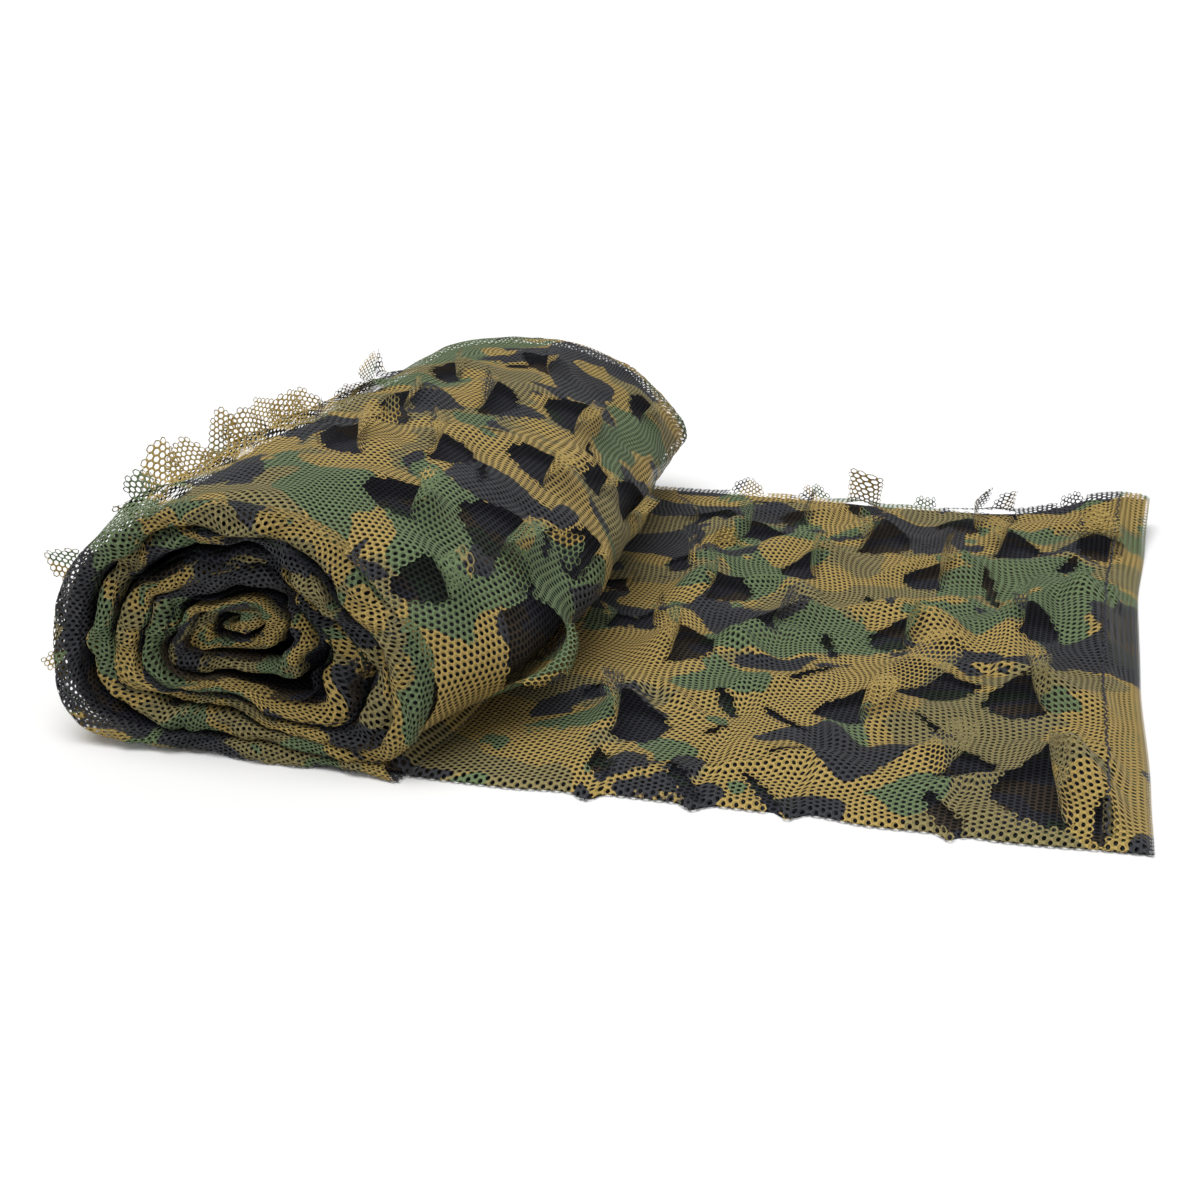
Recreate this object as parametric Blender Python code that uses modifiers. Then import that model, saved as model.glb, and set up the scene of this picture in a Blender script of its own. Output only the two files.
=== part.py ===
"""Camouflage net, folded lengthwise, wound to a roll and partly unrolled.

A printed net with leaf-shaped tongues cut in it lies on a darker backing net. The two are folded with the
leaf-cut net outside and wound together, so the roll shows the fold as a spiral of plump turns at its ends. The
loose end lies flat to the right of the roll.

All sizes are in metres. The tables below are in millimetres, with x measured from the loose end's edge (leftwards
is negative), y from its near edge and z from the surface that the net lies on.
"""

import math

import bmesh
import bpy
from mathutils import Vector
from mathutils.geometry import delaunay_2d_cdt

MM = 0.001

# The model's origin, at the middle of the footprint, in the frame of the tables
ORIGIN_X = -259.2
ORIGIN_Y = 246.0

# The folded net
NET_WIDTH = 500.0
BACKING_THICKNESS = 2.0
LEAF_THICKNESS = 1.6
CLOTH_GAP = 0.3

# The roll
TURNS = 7.0
TURNS_MADE = 5.9
RINGS_PER_TURN = 24
TURN_GAP = 1.4
BIGHT_DEPTH = 6.5
SKIN_ROOM = 4.2
SECTION_STATIONS = (-0.02, 0.14, 0.42, 1.0)
LUMP = 0.016

# Outline of the roll at four stations along its length, clockwise from the lower right as seen from the near
# end, and the middle that its turns close in on
NEAR_SECTION = [
    # x, z
    (-312, 0),
    (-352, 0),
    (-398, 0),
    (-443, 0),
    (-473, 14),
    (-484, 44),
    (-471, 78),
    (-438, 104),
    (-396, 117),
    (-354, 110),
    (-321, 84),
    (-299, 40),
]
WIDE_SECTION = [
    (-307, 0),
    (-352, 0),
    (-402, 0),
    (-450, 0),
    (-480, 16),
    (-491, 46),
    (-479, 81),
    (-445, 106),
    (-401, 117),
    (-352, 112),
    (-306, 86),
    (-272, 35),
]
MID_SECTION = [
    (-313, 0),
    (-360, 0),
    (-410, 0),
    (-455, 3),
    (-486, 21),
    (-498, 50),
    (-486, 84),
    (-453, 105),
    (-408, 113),
    (-358, 108),
    (-310, 84),
    (-279, 42),
]
FAR_SECTION = [
    (-342, 0),
    (-386, 0),
    (-432, 0),
    (-472, 4),
    (-497, 24),
    (-505, 52),
    (-494, 82),
    (-462, 99),
    (-420, 105),
    (-376, 101),
    (-336, 79),
    (-309, 42),
]
SECTION_MIDDLES = [(-390, 58), (-393, 57), (-399, 55), (-410, 52)]

# Edges of the loose end
NEAR_EDGE = [
    # x, y
    (-350, -9),
    (-310, -8),
    (-268, -8),
    (-226, -3),
    (-182, -3),
    (-140, 0),
    (-111, -4),
    (-60, -4),
    (0, 0),
]
FAR_EDGE = [
    (-350, 503),
    (-300, 503),
    (-228, 501),
    (-159, 498),
    (-80, 495),
    (-30, 500),
    (0, 501),
]
END_EDGE = [
    # y, x
    (-10, 0),
    (60, -1),
    (200, -5),
    (330, -6),
    (440, -2),
    (510, 0),
]

# Folds that lift the leaf-cut net of the loose end
LOOSE_END_FOLDS = [
    # x1, y1, x2, y2, height, half width
    (-55, 335, -70, 215, 11.0, 11.0),
    (-75, 148, -16, 140, 8.0, 14.0),
    (-52, 82, -14, 26, 11.0, 10.0),
    (-46, 312, -18, 220, 7.0, 12.0),
    (-110, 338, -50, 378, 7.0, 12.0),
    (-262, 150, -236, 60, 8.0, 11.0),
    (-212, 165, -190, 224, 8.0, 11.0),
    (-130, 112, -112, 186, 9.0, 11.0),
    (-178, 395, -150, 470, 8.0, 12.0),
    (-240, 336, -190, 398, 8.0, 12.0),
    (-168, 238, -96, 284, 8.0, 12.0),
    (-172, 50, -105, 28, 5.0, 12.0),
    (-258, 256, -240, 334, 7.0, 12.0),
    (-205, 110, -160, 150, 6.0, 12.0),
    (-96, 440, -40, 470, 5.0, 12.0),
    (-250, 440, -200, 470, 5.0, 12.0),
]
CORNER_CURL = (-14.0, 500.0, 20.0, 64.0)  # x, y, height, half width

# Leaf tongues: place of the root, direction of the leaf, length, width and how far it curls up
LOOSE_END_LEAVES = [
    # x, y, heading, length, width, curl
    (-172, 434, -42, 38, 34, 98),
    (-96, 428, -38, 34, 32, 104),
    (-182, 350, 184, 30, 24, 100),
    (-246, 388, 10, 34, 26, 140),
    (-258, 302, -10, 36, 28, 135),
    (-100, 352, 178, 36, 32, 130),
    (-212, 226, 50, 34, 26, 125),
    (-140, 218, 55, 34, 26, 140),
    (-282, 222, 0, 30, 24, 140),
    (-246, 160, 40, 36, 32, 130),
    (-272, 100, 20, 28, 24, 150),
    (-246, 66, 30, 36, 34, 115),
    (-118, 108, 165, 34, 30, 125),
    (-44, 152, 190, 34, 30, 135),
    (-100, 66, 5, 34, 24, 130),
    (-28, 44, 150, 40, 36, 120),
    (-66, 300, 150, 30, 20, 150),
    (-182, 62, 60, 30, 22, 150),
    (-285, 420, 20, 30, 24, 140),
    (-44, 420, -80, 34, 26, 140),
    (-176, 300, -60, 30, 24, 150),
    (-296, 330, -20, 28, 22, 140),
]
ROLL_LEAVES = [
    # s (along the turn from its lower left edge), y, heading, length, width, curl
    (216, 262, 5, 30, 34, 140),
    (192, 312, 200, 26, 22, 150),
    (256, 339, -78, 46, 36, 140),
    (277, 212, 232, 36, 36, 150),
    (228, 139, -7, 30, 34, 130),
    (171, 264, 209, 24, 20, 150),
    (190, 246, -87, 36, 22, 140),
    (240, 64, -42, 30, 26, 150),
    (291, 87, 213, 36, 38, 125),
    (280, 27, -40, 24, 28, 140),
    (311, 54, -54, 26, 28, 145),
    (293, 241, -69, 30, 26, 145),
    (327, 204, 95, 54, 26, 140),
    (314, 166, -78, 42, 24, 140),
    (207, 130, 218, 34, 28, 120),
    (168, 159, -93, 28, 20, 150),
    (134, 24, 78, 24, 24, 86),
    (132, 62, 104, 26, 26, 92),
    (131, 110, 84, 26, 26, 80),
    (134, 152, 100, 26, 26, 96),
    (126, 192, 82, 26, 28, 84),
    (122, 240, 96, 25, 26, 88),
    (140, 330, 180, 24, 22, 125),
    (40, 58, 90, 30, 26, 120),
    (42, 150, 80, 32, 26, 135),
    (38, 242, 100, 30, 28, 120),
    (40, 340, 85, 32, 26, 130),
    (42, 430, 95, 30, 26, 125),
    (86, 100, 60, 32, 26, 130),
    (88, 196, 110, 30, 28, 125),
    (86, 296, 70, 32, 26, 120),
    (88, 390, 95, 30, 26, 130),
]

# Spacing of the points that carry the folds
LOOSE_END_SPACING = 17.0
ROLL_SPACING = 19.0
BACKING_STEPS = (14, 20)

# The outer turn's leaf-cut net runs between these shares of a turn
SKIN_START = 0.265
SKIN_END = 0.985
SKIN_NEAR = -5.0
SKIN_FAR = 494.0


SECTIONS = (NEAR_SECTION, WIDE_SECTION, MID_SECTION, FAR_SECTION)


def smooth(value, low, high):
    """Eases from 0 at low to 1 at high."""
    share = min(max((value - low) / (high - low), 0.0), 1.0)
    return share * share * (3.0 - 2.0 * share)


def read_table(table, at):
    """Reads a two-column table at a value of its first column, eased between rows."""
    if at <= table[0][0]:
        return table[0][1]
    for (low, first), (high, second) in zip(table, table[1:]):
        if at <= high:
            return first + (second - first) * smooth(at, low, high)
    return table[-1][1]


def periodic(points, share):
    """Reads a closed smooth curve through equally spaced points at a share of its round."""
    count = len(points)
    place = (share % 1.0) * count
    index = int(place) % count
    part = place - int(place)
    p0, p1, p2, p3 = (points[(index + step) % count] for step in (-1, 0, 1, 2))
    found = []
    for axis in (0, 1):
        a = 2.0 * p1[axis]
        b = p2[axis] - p0[axis]
        c = 2.0 * p0[axis] - 5.0 * p1[axis] + 4.0 * p2[axis] - p3[axis]
        d = 3.0 * (p1[axis] - p2[axis]) + p3[axis] - p0[axis]
        found.append(0.5 * (a + b * part + c * part * part + d * part ** 3))
    return found


def spiral_base(section, middle):
    """Grows a section outwards so that a steadily shrinking spiral passes through its points."""
    count = len(section)
    base = []
    for index, (x, z) in enumerate(section):
        shrink = 1.0 - index / count / TURNS
        base.append((middle[0] + (x - middle[0]) / shrink, middle[1] + (z - middle[1]) / shrink))
    return base


BASES = [spiral_base(*pair) for pair in zip(SECTIONS, SECTION_MIDDLES)]


def across_stations(values, along):
    """Runs a smooth curve through the values at the stations of the roll."""
    last = len(SECTION_STATIONS) - 1
    slopes = []
    for index in range(last + 1):
        low, high = max(index - 1, 0), min(index + 1, last)
        slopes.append((values[high] - values[low]) / (SECTION_STATIONS[high] - SECTION_STATIONS[low]))
    index = 0
    while index < last - 1 and along > SECTION_STATIONS[index + 1]:
        index += 1
    span = SECTION_STATIONS[index + 1] - SECTION_STATIONS[index]
    t = (along - SECTION_STATIONS[index]) / span
    found = (2 * t ** 3 - 3 * t ** 2 + 1) * values[index] + (t ** 3 - 2 * t ** 2 + t) * span * slopes[index]
    found += (3 * t ** 2 - 2 * t ** 3) * values[index + 1] + (t ** 3 - t ** 2) * span * slopes[index + 1]
    return found


def lump(phi, along):
    """Unevenness of the roll, gone where it rests."""
    wave = math.sin(2 * math.pi * (2 * phi + 1.1 * along) + 0.6)
    wave += 0.8 * math.sin(2 * math.pi * (3 * phi - 1.7 * along) + 2.1)
    wave += 0.6 * math.sin(2 * math.pi * (5 * phi + 2.9 * along) + 4.0)
    return LUMP * wave * smooth(phi, 0.2, 0.4) * (1.0 - smooth(phi, 0.86, 0.98))


def roll_point(tau, along, room=0.0):
    """A point of the spiral's outer face, tau turns in from its outer end, with room left under the skin."""
    phi = tau % 1.0
    middle_x = across_stations([middle[0] for middle in SECTION_MIDDLES], along)
    middle_z = across_stations([middle[1] for middle in SECTION_MIDDLES], along)
    read = [periodic(base, phi) for base in BASES]
    out_x = across_stations([point[0] for point in read], along) - middle_x
    out_z = across_stations([point[1] for point in read], along) - middle_z
    reach = math.hypot(out_x, out_z)
    drawn = room * smooth(phi, 0.14, 0.27) * (1.0 - smooth(phi, 0.965, 0.995))
    shrink = (1.0 - tau / TURNS) * (1.0 + lump(phi, along)) * (1.0 - drawn / reach)
    return middle_x + out_x * shrink, middle_z + out_z * shrink


def turn_ends(tau):
    """Near and far end of the turns: the inner ones are drawn in a little, each by its own amount."""
    depth = tau / TURNS
    near = -13.0 + 16.0 * depth + 2.2 * math.sin(5.1 * tau + 0.4)
    far = 503.0 - 14.0 * depth + 2.5 * math.sin(4.3 * tau + 1.9)
    return near, far


def to_model(x, y, z):
    """Table frame in millimetres to the model's frame in metres."""
    return Vector(((x - ORIGIN_X) * MM, (y - ORIGIN_Y) * MM, z * MM))


def new_material(name, colour, roughness):
    """A plain cloth material."""
    material = bpy.data.materials.new(name)
    material.use_nodes = True
    shader = material.node_tree.nodes["Principled BSDF"]
    shader.inputs["Base Color"].default_value = (*colour, 1.0)
    shader.inputs["Roughness"].default_value = roughness
    shader.inputs["Metallic"].default_value = 0.0
    return material


def add_object(name, mesh, collection, material):
    """Puts a mesh in the scene with its material."""
    obj = bpy.data.objects.new(name, mesh)
    mesh.materials.append(material)
    collection.objects.link(obj)
    return obj


def strip_section(tau):
    """One section of the wound strip: along its outer face, round the far fold and back along its inner face."""
    near, far = turn_ends(tau)
    stations = [near + BIGHT_DEPTH + (far - near - 2 * BIGHT_DEPTH) * step / 5 for step in range(6)]

    def point(y, share):
        along = min(max(y / NET_WIDTH, -0.02), 1.0)
        outer = Vector(roll_point(tau, along, SKIN_ROOM))
        inner = Vector(roll_point(tau + 1.0, along, SKIN_ROOM))
        outer.y = max(outer.y, 0.0)
        inner += (outer - inner).normalized() * TURN_GAP
        found = outer.lerp(inner, share)
        return to_model(found.x, y, found.y)

    loop = [point(y, 0.0) for y in stations]
    for share in (0.15, 0.5, 0.85):
        loop.append(point(far - BIGHT_DEPTH * (1.0 - math.sin(math.pi * share)), share))
    loop += [point(y, 1.0) for y in reversed(stations)]
    for share in (0.85, 0.5, 0.15):
        loop.append(point(near + BIGHT_DEPTH * (1.0 - math.sin(math.pi * share)), share))
    return loop


def make_rolled_net(collection, material):
    """The wound form: one strip, thick as the folded nets, lofted along the spiral."""
    shape = bmesh.new()
    rings = []
    for index in range(int(TURNS_MADE * RINGS_PER_TURN) + 1):
        rings.append([shape.verts.new(place) for place in strip_section(index / RINGS_PER_TURN)])
    count = len(rings[0])
    for first, second in zip(rings, rings[1:]):
        for index in range(count):
            after = (index + 1) % count
            corners = (first[index], first[after], second[after], second[index])
            start = 1 if 9 <= index < 15 else 0  # the same diagonal on the two faces of a turn
            turned = corners[start:] + corners[:start]
            shape.faces.new(turned[:3])
            shape.faces.new((turned[0], turned[2], turned[3]))
    for ring, turned in ((rings[0], True), (rings[-1], False)):
        faces = [[ring[index], ring[index + 1], ring[13 - index], ring[14 - index]] for index in range(5)]
        faces.append([ring[5], ring[6], ring[7], ring[8], ring[9]])
        faces.append([ring[14], ring[15], ring[16], ring[17], ring[0]])
        for face in faces:
            shape.faces.new(face if turned else face[::-1])
    bmesh.ops.triangulate(shape, faces=shape.faces[:])
    bmesh.ops.recalc_face_normals(shape, faces=shape.faces[:])
    mesh = bpy.data.meshes.new("rolled_net")
    shape.to_mesh(mesh)
    shape.free()
    mesh.shade_smooth()
    mesh.set_sharp_from_angle(angle=math.radians(50))
    return add_object("rolled_net", mesh, collection, material)


def corner_curl(x, y):
    """Lift of the far corner of the loose end."""
    cx, cy, height, width = CORNER_CURL
    away = max(0.0, (cx - x) * 0.75) + max(0.0, (cy - y) * 0.9)
    return height * math.exp(-((away / width) ** 2) * 1.6)


def fold_height(x, y):
    """Lift of the leaf-cut net's folds on the loose end."""
    lift = 0.0
    for x1, y1, x2, y2, height, width in LOOSE_END_FOLDS:
        span = Vector((x2 - x1, y2 - y1))
        rel = Vector((x - x1, y - y1))
        share = min(max(rel.dot(span) / span.length_squared, 0.0), 1.0)
        away = (rel - span * share).length
        swell = 0.45 + 0.55 * math.sin(math.pi * share)
        lift = max(lift, height * swell * math.exp(-((away / width) ** 2)))
    return lift


def end_edge(y):
    """The loose end's end edge."""
    return read_table(END_EDGE, y)


def start_edge(y):
    """Where the loose end comes out from under the roll."""
    along = min(max(y / NET_WIDTH, -0.02), 1.0)
    return roll_point(0.0, along)[0] + 1.0


def crevice(x, y):
    """0 in the crevice under the roll's side and 1 clear of it."""
    return smooth(x - start_edge(y), 42.0, 75.0)


def leaf_place(x, y):
    """Height of the loose end's leaf-cut net: on the backing, and turned down round its near and end edges."""
    base = BACKING_THICKNESS + CLOTH_GAP + LEAF_THICKNESS / 2 + 0.6
    low = LEAF_THICKNESS / 2 + 0.25
    edge = min(y - read_table(NEAR_EDGE, x), end_edge(y) - x)
    turned = smooth(edge, 0.0, 5.0)
    free = smooth(edge, 4.0, 20.0) * smooth(read_table(FAR_EDGE, x) - y, -6.0, 10.0) * crevice(x, y)
    curl = corner_curl(x, y)
    return low + (base - low) * turned + fold_height(x, y) * free + curl + smooth(curl, 0.1, 2.5)


def skin_table():
    """Share of a turn for each length along the outer turn, measured half way along the roll."""
    steps = 200
    table = [(0.0, SKIN_START)]
    before = Vector(roll_point(SKIN_START, 0.5))
    length = 0.0
    for step in range(1, steps + 1):
        phi = SKIN_START + (SKIN_END - SKIN_START) * step / steps
        here = Vector(roll_point(phi, 0.5))
        length += (here - before).length
        before = here
        table.append((length, phi))
    return table


SKIN_TABLE = skin_table()
SKIN_LENGTH = SKIN_TABLE[-1][0]


def skin_share(length):
    """Share of a turn at a length along the outer turn."""
    steps = len(SKIN_TABLE) - 1
    low, high = 0, steps
    while high - low > 1:
        middle = (low + high) // 2
        if SKIN_TABLE[middle][0] <= length:
            low = middle
        else:
            high = middle
    first, second = SKIN_TABLE[low], SKIN_TABLE[high]
    return first[1] + (second[1] - first[1]) * (length - first[0]) / (second[0] - first[0])


class Surface:
    """A cloth's place in the room for each of its flat points, in millimetres."""

    def __init__(self, place):
        self.place = place

    def frame(self, u, v):
        """The point, the two directions along the cloth and the outward normal."""
        here = self.place(u, v)
        along_u = (self.place(u + 0.5, v) - self.place(u - 0.5, v)).normalized()
        along_v = (self.place(u, v + 0.5) - self.place(u, v - 0.5)).normalized()
        return here, along_u, along_v, along_u.cross(along_v).normalized()


def loose_end_surface():
    """Middle of the loose end's leaf-cut net."""
    return Surface(lambda x, y: Vector((x, y, leaf_place(x, y))))


def skin_surface():
    """Middle of the leaf-cut net on the roll's outer turn."""

    def place(s, y):
        x, z = roll_point(skin_share(s), min(max(y / NET_WIDTH, -0.02), 1.0))
        return Vector((x, y, z))

    return Surface(place)


LEAF_ROWS = [
    # share of the length, half width, half width of the tongue, share of the tongue's length
    (0.00, 0.62, 0.62, 0.00),
    (0.22, 0.96, 0.74, 0.20),
    (0.50, 0.92, 0.66, 0.46),
    (0.78, 0.50, 0.36, 0.72),
]


def leaf_points(leaf):
    """The window's outline in the flat cloth, its root first, and the tongue's points in the leaf's own frame."""
    u, v, heading, length, width, _ = leaf
    ahead = Vector((math.cos(math.radians(heading)), math.sin(math.radians(heading))))
    side = Vector((ahead.y, -ahead.x))
    root = Vector((u, v))

    def at(across, along):
        return root + side * across * width / 2 + ahead * along * length

    right = [at(row[1], row[0]) for row in LEAF_ROWS]
    left = [at(-row[1], row[0]) for row in LEAF_ROWS]
    window = [left[0], root, right[0]] + right[1:] + [at(0.0, 1.0)] + left[:0:-1]
    tongue = [[(across * row[2] * width / 2, row[3] * length) for across in (-1.0, 0.0, 1.0)]
              for row in LEAF_ROWS[1:]]
    tongue.append([(0.0, 0.93 * length)])
    return window, tongue, ahead, side, root


def curled(surface, leaf, across, along, frame):
    """Place of a tongue's point once the tongue has curled up about its root."""
    ahead, side, root = frame
    length = leaf[3]
    limit = math.radians(leaf[5])
    radius = 0.2 * length
    bend = min(along / radius, limit)
    rest = along - bend * radius
    out = radius * math.sin(bend) + rest * math.cos(bend)
    up = radius * (1.0 - math.cos(bend)) + rest * math.sin(bend)
    foot = root + side * across
    here, along_u, along_v, normal = surface.frame(foot.x, foot.y)
    forward = (along_u * ahead.x + along_v * ahead.y).normalized()
    return here + forward * out + normal * up


def inside(point, outline):
    """Whether a flat point lies inside an outline."""
    found = False
    for a, b in zip(outline, outline[1:] + outline[:1]):
        if (a.y > point.y) != (b.y > point.y):
            if point.x < (b.x - a.x) * (point.y - a.y) / (b.y - a.y) + a.x:
                found = not found
    return found


def edge_distance(point, outline):
    """Distance of a flat point to an outline."""
    best = 1e9
    for a, b in zip(outline, outline[1:] + outline[:1]):
        span = b - a
        share = min(max((point - a).dot(span) / span.length_squared, 0.0), 1.0)
        best = min(best, (point - a - span * share).length)
    return best


def make_leaf_cloth(name, outline, leaves, rows, spacing, surface, collection, material):
    """A thin cloth with leaf windows cut through it and their tongues curled up."""
    drawn = [leaf_points(leaf) for leaf in leaves]
    windows = [found[0] for found in drawn]
    points = list(outline)
    edges = [(index, (index + 1) % len(outline)) for index in range(len(outline))]
    firsts = []
    for window in windows:
        first = len(points)
        firsts.append(first)
        points += window
        edges += [(first + index, first + (index + 1) % len(window)) for index in range(len(window))]
    for point in rows:
        if inside(point, outline) and edge_distance(point, outline) > 0.42 * spacing:
            if all(not inside(point, window) and edge_distance(point, window) > 0.36 * spacing
                   for window in windows):
                points.append(point)
    flat, _, faces, _, _, _ = delaunay_2d_cdt(points, edges, [], 0, 1e-5)
    shape = bmesh.new()
    verts = [shape.verts.new(surface.place(point.x, point.y)) for point in flat]
    for face in faces:
        centre = sum((flat[index] for index in face), Vector((0.0, 0.0))) / 3
        if inside(centre, outline) and not any(inside(centre, window) for window in windows):
            shape.faces.new([verts[index] for index in face])
    for leaf, first, (_, tongue, ahead, side, root) in zip(leaves, firsts, drawn):
        rows_made = [[verts[first], verts[first + 1], verts[first + 2]]]
        for row in tongue:
            rows_made.append([shape.verts.new(curled(surface, leaf, across, along, (ahead, side, root)))
                              for across, along in row])
        for before, after in zip(rows_made, rows_made[1:]):
            if len(after) == 1:
                shape.faces.new((before[0], before[1], after[0]))
                shape.faces.new((before[1], before[2], after[0]))
            else:
                for index in (0, 1):
                    shape.faces.new((before[index], before[index + 1], after[index + 1], after[index]))
    bmesh.ops.delete(shape, geom=[vert for vert in shape.verts if not vert.link_faces], context="VERTS")
    bmesh.ops.triangulate(shape, faces=shape.faces[:])
    bmesh.ops.recalc_face_normals(shape, faces=shape.faces[:])
    for vert in shape.verts:
        vert.co = to_model(*vert.co)
    mesh = bpy.data.meshes.new(name)
    shape.to_mesh(mesh)
    shape.free()
    mesh.shade_smooth()
    obj = add_object(name, mesh, collection, material)
    solid = obj.modifiers.new("Thickness", "SOLIDIFY")
    solid.thickness = LEAF_THICKNESS * MM
    solid.offset = 0.0
    solid.use_even_offset = False
    return obj


def spaced(first, last, spacing):
    """Evenly spaced values from first to last."""
    count = max(1, round(abs(last - first) / spacing))
    return [first + (last - first) * step / count for step in range(count + 1)]


def honeycomb(low_u, high_u, low_v, high_v, spacing):
    """Staggered rows of flat points."""
    found = []
    for row, v in enumerate(spaced(low_v, high_v, spacing * 0.87)):
        shift = spacing / 2 if row % 2 else 0.0
        found += [Vector((u + shift, v)) for u in spaced(low_u, high_u, spacing)]
    return found


def make_loose_end_leaf_net(collection, material):
    """The leaf-cut net on top of the loose end."""
    low = start_edge(250.0)
    near_x = spaced(start_edge(0.0), end_edge(0.0), 14.0)
    near = [Vector((x, read_table(NEAR_EDGE, x))) for x in near_x]
    far_x = spaced(end_edge(500.0), start_edge(500.0), 14.0)
    far = [Vector((x, read_table(FAR_EDGE, x))) for x in far_x]
    up = [near[-1].y + 5.2] + spaced(near[-1].y, far[0].y, 15.0)[1:-1]
    down = spaced(far[-1].y, near[0].y, 16.0)[1:-1] + [near[0].y + 5.2]
    outline = near + [Vector((end_edge(y), y)) for y in up] + far + [Vector((start_edge(y), y)) for y in down]
    rows = [Vector((point.x, point.y + 5.2)) for point in near[:-1]]
    rows += [Vector((end_edge(y) - 5.2, y)) for y in up]
    kept = []
    for point in honeycomb(low - 40, 0, 5, 500, LOOSE_END_SPACING):
        if point.y > read_table(NEAR_EDGE, point.x) + 12 and point.x < end_edge(point.y) - 12:
            kept.append(point)
    return make_leaf_cloth("leaf_net_loose_end", outline, LOOSE_END_LEAVES, rows + kept, 10.0,
                           loose_end_surface(), collection, material)


def make_roll_leaf_net(collection, material):
    """The leaf-cut net on the roll's outer turn."""
    along = spaced(SKIN_NEAR, SKIN_FAR, 17.0)
    around = spaced(0.0, SKIN_LENGTH, 13.0)
    outline = [Vector((s, SKIN_NEAR)) for s in around]
    outline += [Vector((SKIN_LENGTH, y)) for y in along[1:-1]]
    outline += [Vector((s, SKIN_FAR)) for s in reversed(around)]
    outline += [Vector((0.0, y)) for y in reversed(along[1:-1])]
    rows = honeycomb(8.0, SKIN_LENGTH - 8.0, 9.0, SKIN_FAR - 9.0, ROLL_SPACING)
    return make_leaf_cloth("leaf_net_roll", outline, ROLL_LEAVES, rows, 11.0, skin_surface(), collection,
                           material)


def make_backing(collection, material):
    """The backing net of the loose end: a flat sheet with the far corner curled up."""
    steps_u, steps_v = BACKING_STEPS
    bpy.ops.mesh.primitive_grid_add(x_subdivisions=steps_u, y_subdivisions=steps_v, size=1.0,
                                    location=(0.0, 0.0, 0.0))
    obj = bpy.context.object
    obj.name = "backing_net_loose_end"
    obj.data.name = "backing_net_loose_end"
    for vert in obj.data.vertices:
        share_u = vert.co.x + 0.5
        share_v = vert.co.y + 0.5
        y_guess = 500.0 * share_v
        x = start_edge(y_guess) + (end_edge(y_guess) - 7.0 - start_edge(y_guess)) * share_u
        low = read_table(NEAR_EDGE, x) + 7.5
        y = low + (read_table(FAR_EDGE, x) - 1.0 - low) * share_v
        vert.co = to_model(x, y, corner_curl(x, y) if corner_curl(x, y) > 0.05 else 0.0)
    for user in obj.users_collection:
        user.objects.unlink(obj)
    collection.objects.link(obj)
    obj.data.materials.append(material)
    obj.data.shade_smooth()
    solid = obj.modifiers.new("Thickness", "SOLIDIFY")
    solid.thickness = BACKING_THICKNESS * MM
    solid.offset = 1.0
    solid.use_even_offset = False
    return obj


def main():
    """Builds the net."""
    for obj in list(bpy.data.objects):
        bpy.data.objects.remove(obj, do_unlink=True)
    collection = bpy.data.collections.new("camouflage_net")
    bpy.context.scene.collection.children.link(collection)
    printed = new_material("printed_leaf_net", (0.20, 0.155, 0.065), 0.9)
    backing = new_material("backing_net", (0.018, 0.019, 0.028), 0.92)
    rolled = new_material("rolled_nets", (0.055, 0.052, 0.036), 0.92)
    make_rolled_net(collection, rolled)
    make_backing(collection, backing)
    make_loose_end_leaf_net(collection, printed)
    make_roll_leaf_net(collection, printed)


main()
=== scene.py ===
"""Looks of the camouflage net: a leaf-cut printed net on a dark backing net, folded, wound, partly unrolled.

Both nets are knitted with hexagonal cells. The leaf-cut net is made here as that open lattice, cell by cell,
and laid on the folds of the solids that it stands for. The cloth's flat coordinates carry its print and knit.

Sizes are in millimetres and are turned into metres when a mesh is made. x is measured from the loose end's
edge (leftwards is negative), y from its near edge and z from the surface that the net lies on.
"""

import logging
import math
from dataclasses import dataclass, field
from enum import Enum
from typing import Callable, Dict, List, Optional, Sequence, Tuple, Union

import bmesh
import bpy
import numpy as np
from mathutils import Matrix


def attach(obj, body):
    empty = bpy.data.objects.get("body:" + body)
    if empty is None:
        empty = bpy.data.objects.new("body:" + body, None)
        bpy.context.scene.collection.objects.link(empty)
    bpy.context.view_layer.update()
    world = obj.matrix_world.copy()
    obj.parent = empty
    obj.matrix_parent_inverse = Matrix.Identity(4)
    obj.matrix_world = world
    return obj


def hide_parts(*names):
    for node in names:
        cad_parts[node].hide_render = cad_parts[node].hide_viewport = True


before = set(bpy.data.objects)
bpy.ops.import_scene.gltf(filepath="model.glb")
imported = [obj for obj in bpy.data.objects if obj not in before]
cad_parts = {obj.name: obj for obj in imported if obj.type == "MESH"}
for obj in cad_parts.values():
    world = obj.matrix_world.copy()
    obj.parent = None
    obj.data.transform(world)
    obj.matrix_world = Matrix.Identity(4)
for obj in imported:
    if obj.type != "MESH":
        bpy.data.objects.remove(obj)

LOG = logging.getLogger("camouflage_net")
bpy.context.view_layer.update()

Array = np.ndarray
FlatMap = Callable[[Array, Array], Array]
Pair = Tuple[float, float]
Arrays = Tuple[Array, Array]
Rows = Tuple[Tuple[float, ...], ...]
Material = bpy.types.Material
Object = bpy.types.Object
Socket = bpy.types.NodeSocket
Settings = Dict[str, object]
Sockets = Dict[Union[str, int], object]
Colour = Tuple[float, float, float]
Amount = Union[float, Array]
Number = Union[float, "Term"]

MM = 0.001
NET_WIDTH = 500.0
CELL = (2.95, 3.4)

# The model's origin, at the middle of the footprint, in the frame of the tables
ORIGIN = np.array([-259.2, 246.0, 0.0])


# ---- Shared curves ----

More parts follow.
